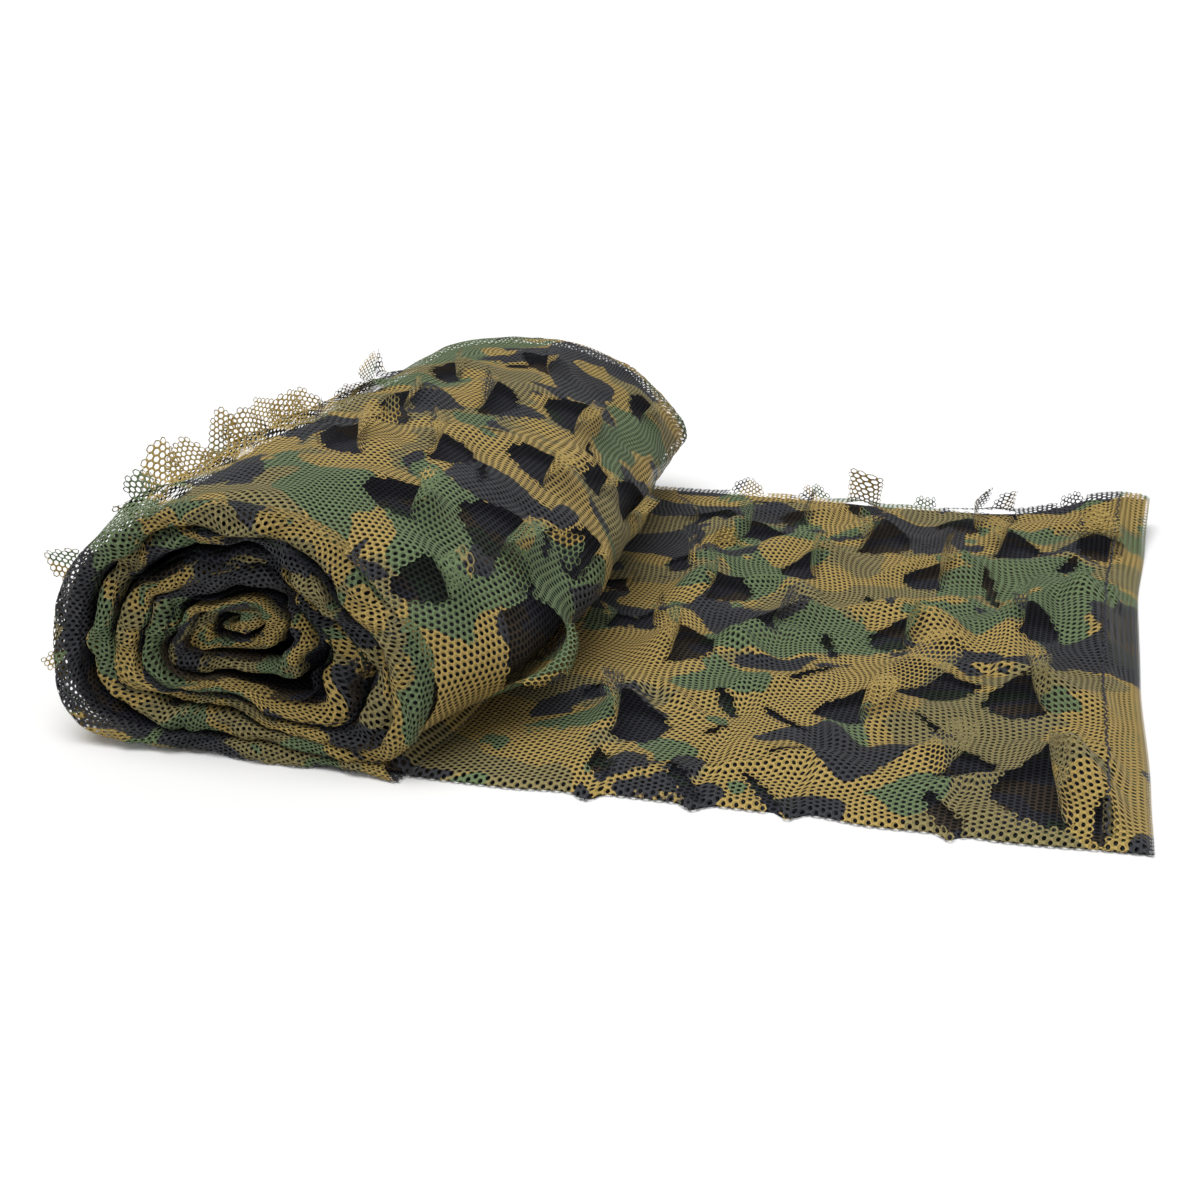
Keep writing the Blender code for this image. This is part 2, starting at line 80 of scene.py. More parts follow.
def ease(value: Array, low: float, high: float) -> Array:
    """Eases from 0 at low to 1 at high.

    Args:
        value: Where to read the curve.
        low: Value with result 0.
        high: Value with result 1.

    Returns:
        The eased shares.
    """
    share = np.clip((np.asarray(value, float) - low) / (high - low), 0.0, 1.0)
    return share * share * (3.0 - 2.0 * share)


def read_table(table: Rows, at: Array) -> Array:
    """Reads a two-column table, eased between its rows.

    Args:
        table: Rows of place and value, in rising order of place.
        at: Where to read it.

    Returns:
        The values.
    """
    rows = np.array(table, float)
    at = np.asarray(at, float)
    after = np.clip(np.searchsorted(rows[:, 0], at), 1, len(rows) - 1)
    low, high = rows[after - 1], rows[after]
    share = ease((at - low[..., 0]) / (high[..., 0] - low[..., 0]), 0.0, 1.0)
    return low[..., 1] + (high[..., 1] - low[..., 1]) * share


def unit(vectors: Array) -> Array:
    """Vectors of length 1."""
    return vectors / np.maximum(np.linalg.norm(vectors, axis=-1, keepdims=True), 1e-9)


def to_model(places: Array) -> Array:
    """Places of the tables, in millimetres, to the model's frame in metres."""
    return (places - ORIGIN) * MM


class Cloudiness:
    """Repeatable smooth unevenness over a cloth, from -1 to 1."""

    SIZE = 64

    def __init__(self, seed: int) -> None:
        """Draws the values that the unevenness runs through.

        Args:
            seed: Number that this unevenness always starts from.
        """
        self.values = np.random.default_rng(seed).uniform(-1.0, 1.0, (self.SIZE, self.SIZE))

    def read(self, u: Array, v: Array, size_u: float, size_v: float) -> Array:
        """Reads the unevenness.

        Args:
            u: First flat coordinate.
            v: Second flat coordinate.
            size_u: Size of its lumps along u.
            size_v: Size of its lumps along v.

        Returns:
            Values from -1 to 1.
        """
        a, b = np.asarray(u, float) / size_u, np.asarray(v, float) / size_v
        i, j = np.floor(a).astype(int), np.floor(b).astype(int)
        s, t = ease(a - i, 0.0, 1.0), ease(b - j, 0.0, 1.0)
        size = self.SIZE
        low, high = (self.values[i % size, row % size] * (1 - s) + self.values[(i + 1) % size, row % size] * s
                     for row in (j, j + 1))
        return low * (1 - t) + high * t


@dataclass(frozen=True)
class Ripple:
    """One scale of a cloth's unevenness: its height, the size of its lumps and where its pattern is read."""

    height: float
    size_u: float
    size_v: float = 1.0
    shift_u: float = 0.0
    shift_v: float = 0.0
    creased: bool = False

    def read(self, pattern: Cloudiness, u: Array, v: Amount = 0.0) -> Array:
        """Its lift at flat places, with sharp crests if it is creased."""
        value = pattern.read(u + self.shift_u, v + self.shift_v, self.size_u, self.size_v)
        return self.height * (1.0 - 2.0 * np.abs(value) if self.creased else value)


PUCKER = Cloudiness(11)


# ---- Form of the roll ----

@dataclass(frozen=True)
class RollForm:
    """The spiral that the folded net is wound to.

    The four outlines run clockwise from the lower right as seen from the near end.
    """

    turns: float = 7.0
    turns_made: float = 5.9
    stations: Tuple[float, ...] = (-0.02, 0.14, 0.42, 1.0)
    outlines: Tuple[Rows, ...] = (
        ((-312, 0), (-352, 0), (-398, 0), (-443, 0), (-473, 14), (-484, 44),
         (-471, 78), (-438, 104), (-396, 117), (-354, 110), (-321, 84), (-299, 40)),
        ((-307, 0), (-352, 0), (-402, 0), (-450, 0), (-480, 16), (-491, 46),
         (-479, 81), (-445, 106), (-401, 117), (-352, 112), (-306, 86), (-272, 35)),
        ((-313, 0), (-360, 0), (-410, 0), (-455, 3), (-486, 21), (-498, 50),
         (-486, 84), (-453, 105), (-408, 113), (-358, 108), (-310, 84), (-279, 42)),
        ((-342, 0), (-386, 0), (-432, 0), (-472, 4), (-497, 24), (-505, 52),
         (-494, 82), (-462, 99), (-420, 105), (-376, 101), (-336, 79), (-309, 42)),
    )
    middles: Rows = ((-390, 58), (-393, 57), (-399, 55), (-410, 52))
    lump: float = 0.016
    skin_room: float = 4.2
    turn_gap: float = 1.4
    fold_depth: float = 6.5
    skin_start: float = 0.265
    skin_end: float = 0.985
    core_slant: float = 28.0
    core_squash: float = 0.36
    core_shift: Pair = (-4.0, 2.0)
    core_turns: Pair = (3.5, 4.5)
    # where along a turn its lumps and the room under the leaf-cut net set in, and where they end
    lumps_from: Pair = (0.2, 0.4)
    lumps_to: Pair = (0.86, 0.98)
    room_from: Pair = (0.14, 0.27)
    room_to: Pair = (0.965, 0.995)
    crumpled_turns: Pair = (0.4, 1.3)
    crumpled_reach: Pair = (8.0, 45.0)
    lowest: float = 0.8
    # y of the outer turn, how far the core lies from it, sway, the sway's rate and start
    near_end: Tuple[float, ...] = (-13.0, 16.0, 2.2, 5.1, 0.4)
    far_end: Tuple[float, ...] = (503.0, -14.0, 2.5, 4.3, 1.9)
    # rounds, lean along the roll, start, share
    lumps: Rows = ((2, 1.1, 0.6, 1.0), (3, -1.7, 2.1, 0.8), (5, 2.9, 4.0, 0.6))
    far_crumples: float = 900.0
    push_x: Tuple[Ripple, ...] = (Ripple(6.0, 27.0, 21.0), Ripple(1.8, 14.0, 12.0, 150.0, 300.0, True))
    push_z: Tuple[Ripple, ...] = (Ripple(4.6, 25.0, 20.0, 1700.0),
                                  Ripple(1.5, 13.0, 11.0, 260.0, 500.0, True))

    def across_stations(self, values: Sequence[Amount], along: Array) -> Array:
        """Runs a smooth curve through values at the stations of the roll.

        Args:
            values: One value, or one array like along, for each station.
            along: Shares of the net's width.

        Returns:
            The values at along.
        """
        stations = np.array(self.stations)
        last = len(stations) - 1
        rows = [np.broadcast_to(value, along.shape) for value in values]
        around = [(max(index - 1, 0), min(index + 1, last)) for index in range(last + 1)]
        slopes = [(rows[high] - rows[low]) / (stations[high] - stations[low]) for low, high in around]
        found = np.zeros(along.shape)
        for index in range(last):
            inside = along > stations[index] if index else np.ones(along.shape, bool)
            span = stations[index + 1] - stations[index]
            t = (along - stations[index]) / span
            part = ((2 * t ** 3 - 3 * t ** 2 + 1) * rows[index]
                    + (t ** 3 - 2 * t ** 2 + t) * span * slopes[index]
                    + (3 * t ** 2 - 2 * t ** 3) * rows[index + 1]
                    + (t ** 3 - t ** 2) * span * slopes[index + 1])
            found = np.where(inside, part, found)
        return found

    def round_curve(self, station: int, share: Array, axis: int) -> Array:
        """Reads a station's outline, grown so that the shrinking spiral passes through its points.

        Args:
            station: Which outline.
            share: Share of its round.
            axis: 0 for x and 1 for z.

        Returns:
            The coordinates.
        """
        outline = self.outlines[station]
        count = len(outline)
        middle = self.middles[station][axis]
        base = np.array([middle + (point[axis] - middle) / (1.0 - index / count / self.turns)
                         for index, point in enumerate(outline)])
        place = (share % 1.0) * count
        index = np.floor(place).astype(int) % count
        part = place - np.floor(place)
        p0, p1, p2, p3 = (base[(index + step) % count] for step in (-1, 0, 1, 2))
        bend = 2.0 * p0 - 5.0 * p1 + 4.0 * p2 - p3
        end = 3.0 * (p1 - p2) + p3 - p0
        return 0.5 * (2.0 * p1 + (p2 - p0) * part + bend * part ** 2 + end * part ** 3)

    def unevenness(self, phi: Array, along: Array) -> Array:
        """The roll's lumps, as a share of its radius, gone where it rests."""
        wave = sum(share * np.sin(2 * math.pi * (rounds * phi + lean * along) + start)
                   for rounds, lean, start, share in self.lumps)
        return self.lump * wave * ease(phi, *self.lumps_from) * (1.0 - ease(phi, *self.lumps_to))

    def middle(self, along: Array) -> List[Array]:
        """x and z of the spiral's middle, at shares of the net's width."""
        return [self.across_stations([point[axis] for point in self.middles], along) for axis in (0, 1)]

    def point(self, tau: Array, along: Array, room: Amount = 0.0) -> Array:
        """Places on the spiral's outer face.

        Args:
            tau: Turns in from the outer end.
            along: Shares of the net's width.
            room: Room that is left under the leaf-cut net.

        Returns:
            x and z of each place, as the last axis.
        """
        tau, along = np.broadcast_arrays(np.asarray(tau, float),
                                         np.clip(along, self.stations[0], self.stations[-1]))
        phi = tau % 1.0
        middle = self.middle(along)
        out = []
        for axis in (0, 1):
            rows = [self.round_curve(station, phi, axis) for station in range(len(self.outlines))]
            out.append(self.across_stations(rows, along) - middle[axis])
        reach = np.hypot(out[0], out[1])
        drawn = room * ease(phi, *self.room_from) * (1.0 - ease(phi, *self.room_to))
        shrink = (1.0 - tau / self.turns) * (1.0 + self.unevenness(phi, along)) * (1.0 - drawn / reach)
        return np.stack([middle[0] + out[0] * shrink, middle[1] + out[1] * shrink], axis=-1)

    def ends(self, tau: Array) -> Arrays:
        """Near and far end of the turns, the inner ones drawn in a little."""
        near, far = (place + drawn * (tau / self.turns) + sway * np.sin(rate * tau + start)
                     for place, drawn, sway, rate, start in (self.near_end, self.far_end))
        return near, far

    def layer(self, tau: Array, y: Array, share: Array, outer_room: Optional[Amount] = None) -> Array:
        """Places inside the thickness of a turn.

        Args:
            tau: Turns in from the outer end.
            y: Distance from the near edge.
            share: 0 on the turn's outer face and 1 on its inner one.
            outer_room: Room under the leaf-cut net, where it isn't the usual one.

        Returns:
            x, y and z of each place.
        """
        tau, y, share = np.broadcast_arrays(tau, y, share)
        along = y / NET_WIDTH
        outer = self.point(tau, along, self.skin_room if outer_room is None else outer_room)
        inner = self.point(tau + 1.0, along, self.skin_room)
        outer[..., 1] = np.maximum(outer[..., 1], 0.0)
        inner = inner + unit(outer - inner) * self.turn_gap
        found = outer + (inner - outer) * share[..., None]
        return self.crumpled(np.stack([found[..., 0], y, found[..., 1]], axis=-1), tau)

    def crumpled(self, places: Array, tau: Array) -> Array:
        """Pushes the inner turns out of their even spiral near the roll's ends.

        Args:
            places: x, y and z of each place.
            tau: Turns in from the outer end.

        Returns:
            The places, creased and pushed together, and less so deeper in the roll.
        """
        x, y, z = (places[..., axis] for axis in range(3))
        near, far = self.ends(tau)
        share = 1.0 - ease(np.minimum(y - near, far - y), *self.crumpled_reach)
        share = ease(tau, *self.crumpled_turns) * share
        # the core lies squashed on a slant, and a hollow stays open below it
        middle_x, middle_z = self.middle(np.clip(y / NET_WIDTH, 0.0, 1.0))
        turn = math.radians(self.core_slant)
        down = (z - middle_z) * math.cos(turn) - (x - middle_x) * math.sin(turn)
        core = ease(tau, *self.core_turns) * share
        x = x + core * (self.core_shift[0] + self.core_squash * down * math.sin(turn))
        z = z + core * (self.core_shift[1] - self.core_squash * down * math.cos(turn))
        u = x + np.where(y > NET_WIDTH / 2, self.far_crumples, 0.0)
        push_x, push_z = (sum(ripple.read(PUCKER, u, z) for ripple in ripples)
                          for ripples in (self.push_x, self.push_z))
        return np.stack([x + push_x * share, y, np.maximum(z + push_z * share, self.lowest)], axis=-1)

    def lengths(self, first: float, last: float, along: float, count: int) -> Arrays:
        """Length along the spiral for a range of turns.

        Args:
            first: Where the range starts, in turns.
            last: Where it ends.
            along: Share of the net's width at which it is measured.
            count: Steps.

        Returns:
            The lengths and the turns that they stand for.
        """
        tau = np.linspace(first, last, count + 1)
        places = self.point(tau, np.full(tau.shape, along))
        steps = np.linalg.norm(np.diff(places, axis=0), axis=1)
        return np.concatenate([[0.0], np.cumsum(steps)]), tau


ROLL = RollForm()


# ---- Form of the loose end ----

@dataclass(frozen=True)
class LooseEndForm:
    """The unrolled stretch: its edges, its folds and the curl of its far corner."""

    near_edge: Rows = (
        (-350, -9), (-310, -8), (-268, -8), (-240, -5), (-230, -11), (-223, -3), (-193, -3), (-185, -9),
        (-177, -2), (-153, -2), (-145, -7), (-138, 0), (-111, -4), (-86, -3), (-79, -9), (-72, -3), (-60, -4),
        (0, 0))
    far_edge: Rows = (
        (-350, 503), (-300, 503), (-228, 501), (-159, 498), (-80, 495), (-30, 500), (0, 501))
    end_edge: Rows = (
        (-10, 0), (60, -1), (200, -5), (330, -6), (440, -2), (510, 0))
    folds: Rows = (
        # x1, y1, x2, y2, height, half width
        (-55, 335, -70, 215, 11.0, 11.0), (-75, 148, -16, 140, 8.0, 14.0), (-52, 82, -14, 26, 11.0, 10.0),
        (-46, 312, -18, 220, 7.0, 12.0), (-110, 338, -50, 378, 7.0, 12.0), (-262, 150, -236, 60, 8.0, 11.0),
        (-212, 165, -190, 224, 8.0, 11.0), (-130, 112, -112, 186, 9.0, 11.0),
        (-178, 395, -150, 470, 8.0, 12.0), (-240, 336, -190, 398, 8.0, 12.0),
        (-168, 238, -96, 284, 8.0, 12.0), (-172, 50, -105, 28, 5.0, 12.0),
        (-258, 256, -240, 334, 7.0, 12.0), (-205, 110, -160, 150, 6.0, 12.0),
        (-96, 440, -40, 470, 5.0, 12.0), (-250, 440, -200, 470, 5.0, 12.0),
    )
    creases: Rows = (
        # x1, y1, x2, y2, height, half width
        (-150, 96, -128, 60, 2.6, 5.0), (-206, 196, -150, 205, 3.0, 6.0), (-92, 190, -40, 176, 3.0, 6.0),
        (-232, 120, -204, 84, 2.8, 5.0), (-128, 250, -84, 246, 2.6, 6.0), (-150, 320, -118, 372, 3.0, 6.0),
        (-228, 282, -196, 306, 3.0, 6.0), (-90, 30, -58, 52, 2.6, 5.0), (-60, 392, -26, 372, 2.6, 6.0),
        (-206, 424, -182, 476, 3.0, 6.0), (-128, 398, -108, 462, 2.8, 6.0),
        (-280, 372, -262, 436, 3.0, 6.0), (-36, 118, -24, 60, 2.4, 4.0), (-190, 22, -160, 36, 2.2, 4.0),
        (-38, 96, -12, 58, 5.2, 7.0), (-42, 324, -30, 286, 9.6, 15.0), (-22, 330, -16, 300, 7.0, 9.0),
        (-206, 300, -176, 268, 3.6, 7.0), (-120, 300, -92, 330, 3.4, 7.0), (-216, 190, -186, 168, 3.6, 6.0),
        (-300, 330, -282, 250, 3.6, 8.0), (-72, 430, -40, 455, 3.2, 7.0), (-20, 480, -14, 400, 3.4, 6.0),
    )
    corner: Tuple[float, float, float, float] = (-12.0, 500.0, 17.0, 54.0)  # x, y, height, half width
    corner_slopes: Pair = (0.75, 0.9)
    corner_fall: float = 1.6
    corner_free: Pair = (0.1, 2.5)
    backing_thickness: float = 2.0
    rest: float = 3.7
    edge_rest: float = 1.05
    turned_down: float = 5.0
    puffed: float = 1.8
    crease_share: float = 1.7
    rim_flat: Pair = (4.0, 20.0)
    far_rim_flat: Pair = (-6.0, 10.0)
    crevice: Pair = (42.0, 75.0)
    pucker: Tuple[Ripple, Ripple] = (Ripple(1.0, 17.0, 24.0), Ripple(0.35, 8.0, 12.0, 300.0))

    def corner_lift(self, x: Array, y: Array) -> Array:
        """Lift of the far corner."""
        cx, cy, height, width = self.corner
        along, across = self.corner_slopes
        away = np.maximum(0.0, (cx - x) * along) + np.maximum(0.0, (cy - y) * across)
        return height * np.exp(-((away / width) ** 2) * self.corner_fall)

    @staticmethod
    def ridges(rows: Rows, x: Array, y: Array) -> Array:
        """Lift of soft ridges.

        Args:
            rows: Start, end, height and half width of each ridge.
            x: Places along the loose end.
            y: Places across it.

        Returns:
            The highest ridge's lift at each place.
        """
        lift = np.zeros(np.broadcast(x, y).shape)
        for x1, y1, x2, y2, height, width in rows:
            dx, dy = x2 - x1, y2 - y1
            share = np.clip(((x - x1) * dx + (y - y1) * dy) / (dx * dx + dy * dy), 0.0, 1.0)
            away = np.hypot(x - x1 - dx * share, y - y1 - dy * share)
            swell = 0.45 + 0.55 * np.sin(math.pi * share)
            lift = np.maximum(lift, height * swell * np.exp(-((away / width) ** 2)))
        return lift

    def start_x(self, y: Array) -> Array:
        """Where the loose end comes out from under the roll."""
        y = np.asarray(y, float)
        return ROLL.point(np.zeros(y.shape), y / NET_WIDTH)[..., 0] + 1.0

    def end_x(self, y: Array) -> Array:
        """The end edge."""
        return read_table(self.end_edge, y)

    def near_y(self, x: Array) -> Array:
        """The near edge."""
        return read_table(self.near_edge, x)

    def far_y(self, x: Array) -> Array:
        """The far edge."""
        return read_table(self.far_edge, x)

    def leaf_height(self, x: Array, y: Array) -> Array:
        """Height of the leaf-cut net's middle.

        Args:
            x: Places along the loose end.
            y: Places across it.

        Returns:
            The heights: on the backing, on the folds, and turned down round the near and end edges.
        """
        edge = np.minimum(y - self.near_y(x), self.end_x(y) - x)
        turned = ease(edge, 0.0, self.turned_down)
        free = ease(edge, *self.rim_flat) * ease(self.far_y(x) - y, *self.far_rim_flat)
        free = free * ease(x - self.start_x(y), *self.crevice)
        curl = self.corner_lift(x, y)
        folds = self.ridges(self.folds, x, y) + self.crease_share * self.ridges(self.creases, x, y)
        arches = np.max([leaf.crest_lift(x, y) for leaf in LOOSE_END_LEAVES], axis=0)
        pucker = sum(ripple.read(PUCKER, x, y) for ripple in self.pucker)
        lift = (np.sqrt(folds ** 2 + arches ** 2) + self.puffed * (1.0 + pucker)) * free
        base = self.edge_rest + (self.rest - self.edge_rest) * turned
        return base + lift + curl + ease(curl, *self.corner_free)


LOOSE_END = LooseEndForm()


# Pulls of the knit, by their distance from the rim
PULLS_ALONG = {34.0: Ripple(7.5, 62.0, 48.0), 11.0: Ripple(1.0, 23.0, 21.0, 800.0)}
PULLS_ACROSS = {34.0: Ripple(6.5, 47.0, 58.0, 400.0), 11.0: Ripple(1.0, 21.0, 24.0, 1200.0)}


def pulled(a: Array, b: Array, size: Pair, seed: int) -> Arrays:
    """Shifts grid places inside a net, where its knit is pulled out of line.

    Args:
        a: First grid coordinates.
        b: Second grid coordinates.
        size: The grid's width and length.
        seed: Number that the pulls start from.

    Returns:
        The shifted coordinates. Places on the rim stay.
    """
    pull = Cloudiness(seed)
    rim = np.minimum(np.minimum(a, size[0] - a), np.minimum(b, size[1] - b))
    along, across = (sum(ripple.read(pull, a, b) * ease(rim, 0.0, reach) for reach, ripple in ripples.items())
                     for ripples in (PULLS_ALONG, PULLS_ACROSS))
    return a + along, b + across


# ---- Leaves ----

class Cut(Enum):
    """Outlines of the leaves: share of the length and half width as a share of the greatest, root first."""

    POINTED = ((0.0, 0.60), (0.10, 0.86), (0.26, 1.06), (0.50, 1.02), (0.74, 0.72), (0.90, 0.40), (1.0, 0.0))
    ROUND = ((0.0, 0.90), (0.14, 1.0), (0.40, 0.96), (0.66, 0.76), (0.86, 0.46), (1.0, 0.0))


@dataclass(frozen=True)
class Leaf:
    """A leaf cut in the net: it stays joined at its root and curls up there."""

    u: float
    v: float
    heading: float
    length: float
    width: float
    curl: float
    cut: Cut = Cut.POINTED
    crest: float = 0.0
    crest_place: float = 0.7
    bend: float = 0.2

    NARROWING = ((0.0, 1.0), (0.22, 0.78), (0.50, 0.68), (0.78, 0.64), (1.0, 0.60))
    SHORTENING = 0.86
    STEP = 0.5
    # the crest's reach beside the root and along the leaf: a share of its width or length, and what is added
    CREST_INWARD, CREST_OUTWARD, CREST_ALONG, CREST_BEHIND = (0.50, 4.0), (0.20, 7.0), (0.45, 2.0), 15.0
    WINDOW_MIDDLE, ARCH_MARGIN, ARCH_INWARD, ARCH_OUTWARD, ARCH_SWING = 0.42, 8.0, 1.05, 15.0, 0.35
    LEAN, CUP, CUP_SWING = 0.10, 0.16, 0.08

    @property
    def ahead(self) -> Array:
        """Flat direction from root to tip."""
        angle = math.radians(self.heading)
        return np.array([math.cos(angle), math.sin(angle)])

    @property
    def side(self) -> Array:
        """Flat direction to the leaf's right."""
        return np.array([self.ahead[1], -self.ahead[0]])

    def own(self, u: Array, v: Array) -> Arrays:
        """Flat places in the leaf's own frame: across it and along it."""
        du, dv = u - self.u, v - self.v
        return du * self.side[0] + dv * self.side[1], du * self.ahead[0] + dv * self.ahead[1]

    def holds(self, u: Array, v: Array) -> Array:
        """Whether flat places lie within the leaf's cut.

        Args:
            u: First flat coordinates.
            v: Second flat coordinates.

        Returns:
            True inside the cut.
        """
        across, along = self.own(u, v)
        share = along / self.length
        half = np.interp(share, *zip(*self.cut.value)) * self.width / 2
        return (share > 0.0) & (share < 1.0) & (np.abs(across) < half)

    def crest_lift(self, u: Array, v: Array) -> Array:
        """Lift of the cloth that stands up along the leaf's root and beside its window.

        Args:
            u: First flat coordinates.
            v: Second flat coordinates.

        Returns:
            The lift at each place, highest near one end of the root.
        """
        across, along = self.own(u, v)
        if self.side[1] < 0.0:
            across = -across
        across = across - self.crest_place * self.width / 2
        inward, outward = (share * self.width + more
                           for share, more in (self.CREST_INWARD, self.CREST_OUTWARD))
        reach = np.where(across < 0.0, inward, outward)
        share, more = self.CREST_ALONG
        fall = np.where(along > 0.0, share * self.length + more, self.CREST_BEHIND)
        away = np.hypot(across / reach, (along + 1.0) / fall)
        return self.crest * np.exp(-away ** 1.5)

    @staticmethod
    def arches(leaves: Sequence["Leaf"], u: Array, v: Array, uphill: Pair, height: float) -> Array:
        """Lift of the cloth beside the windows that the leaves leave.

        Args:
            leaves: The leaves.
            u: First flat coordinates.
            v: Second flat coordinates.
            uphill: Side of each window on which the cloth rises.
            height: Height of the arch over a window of usual size.

        Returns:
            The lift at each place.
        """
        lift = np.zeros(np.broadcast(u, v).shape)
        rise = np.array(uphill) / math.hypot(*uphill)
        for number, leaf in enumerate(leaves):
            middle = leaf.WINDOW_MIDDLE
            centre = np.array([leaf.u, leaf.v]) + leaf.ahead * leaf.length * middle
            up_ahead, up_side = abs(rise @ leaf.ahead), abs(rise @ leaf.side)
            reach = middle * (up_ahead * leaf.length + up_side * leaf.width)
            wide = leaf.ARCH_MARGIN + middle * (up_side * leaf.length + up_ahead * leaf.width)
            du, dv = u - centre[0], v - centre[1]
            up = du * rise[0] + dv * rise[1] - reach
            over = (dv * rise[0] - du * rise[1]) / wide
            fall = np.where(up < 0.0, reach * leaf.ARCH_INWARD, leaf.ARCH_OUTWARD)
            size = height * (1.0 + leaf.ARCH_SWING * math.sin(2.9 * number + 1.0))
            lift = np.maximum(lift, size * np.exp(-(up / fall) ** 2 - over ** 2))
        return lift

    def curled(self, surface: FlatMap, u: Array, v: Array, number: int) -> Array:
        """Places of the leaf's flat points once it has curled up.

        Args:
            surface: The cloth that the leaf is cut in.
            u: First flat coordinates.
            v: Second flat coordinates.
            number: The leaf's number, from which its own lean and cupping follow.

        Returns:
            x, y and z of each point.
        """
        across, along = self.own(u, v)
        share = np.clip(along / self.length, 0.0, 1.0)
        lean = self.LEAN * math.sin(2.4 * number + 0.7)
        cup = self.CUP + self.CUP_SWING * math.sin(1.7 * number)
        across_now = across * np.interp(share, *zip(*self.NARROWING)) + lean * self.length * share ** 2
        travel = np.maximum(along, 0.0) * self.SHORTENING
        limit = math.radians(self.curl)
        radius = self.bend * self.length
        bend = np.minimum(travel / radius, limit)
        rest = travel - bend * radius
        out = radius * np.sin(bend) + rest * np.cos(bend) + np.minimum(along, 0.0)
        up = radius * (1.0 - np.cos(bend)) + rest * np.sin(bend)
        # the sides of the leaf roll in towards the face that it shows once it stands
        rolled = cup * np.abs(across) * ease(share, 0.15, 0.8)
        out = out - rolled * np.sin(bend)
        up = up + rolled * np.cos(bend)
        foot_u = self.u + self.side[0] * across_now
        foot_v = self.v + self.side[1] * across_now
        here = surface(foot_u, foot_v)
        step = self.STEP
        along_u = unit(surface(foot_u + step, foot_v) - surface(foot_u - step, foot_v))
        along_v = unit(surface(foot_u, foot_v + step) - surface(foot_u, foot_v - step))
        normal = unit(np.cross(along_u, along_v))
        forward = unit(along_u * self.ahead[0] + along_v * self.ahead[1])
        return here + forward * out[..., None] + normal * up[..., None]


LOOSE_END_LEAVES = tuple(Leaf(*row[:6], Cut.ROUND, *row[6:]) for row in (
    # x, y, heading, length, width, curl, height of the crest, its place along the root where it isn't 0.7,
    # tightness of the curl
    (-184, 322, 184, 25, 44, 125, 16.0),
    (-184, 217, 171, 25, 46, 130, 16.0),
    (-108, 320, 172, 29, 50, 118, 17.0),
    (-115, 213, 172, 28, 46, 130, 16.0),
    (-50, 137, 194, 28, 42, 132, 18.0),
    (-35, 34, 186, 32, 56, 122, 17.0, 0.75),
    (-241, 268, 8, 27, 44, 140, 14.0, 0.5),
    (-256, 322, 180, 21, 40, 98, 14.0, 0.3),
    (-284, 277, 180, 20, 26, 130, 10.0, 0.4),
    (-237, 168, 4, 24, 46, 118, 14.0, 0.6),
    (-251, 215, 180, 19, 34, 140, 10.0, 0.3),
    (-166, 390, -10, 27, 54, 140, 13.0),
    (-88, 396, -8, 27, 44, 140, 11.0, 0.6),
    (-99, 438, 180, 32, 34, 150, 10.0, 0.2),
    (-68, 246, 0, 22, 42, 160, 16.0, 0.3),
    (-30, 420, -84, 30, 28, 140, 9.0, 0.0),
    (-238, 62, 6, 27, 44, 112, 15.0, 0.6),
    (-251, 106, 180, 14, 24, 140, 8.0, 0.2),
    (-124, 104, 174, 30, 42, 172, 12.0, 0.5, 0.13),
    (-122, 150, 5, 44, 44, 13, 5.0, 0.0),
    (-96, 52, 20, 34, 36, 42, 9.0, 0.4),
    (-246, 388, 10, 34, 30, 140, 11.0, 0.4),
    (-285, 420, 20, 30, 24, 140, 8.0, 0.2),
    (-282, 212, 0, 18, 22, 140, 6.0, 0.2),
    (-205, 430, 176, 24, 34, 140, 9.0, 0.3),
    (-245, 350, 95, 18, 26, 96, 4.0, 0.0),
)) + tuple(Leaf(*row) for row in (
    (-182, 474, -70, 31, 24, 82, Cut.POINTED, 5.0, 0.0),
    (-92, 484, -74, 22, 16, 84, Cut.POINTED, 3.0, 0.0),
    (-262, 485, 92, 15, 26, 66),
    (-216, 487, 84, 13, 24, 58),
    (-142, 488, 88, 12, 18, 70),
    (-48, 489, 94, 12, 20, 62),
))

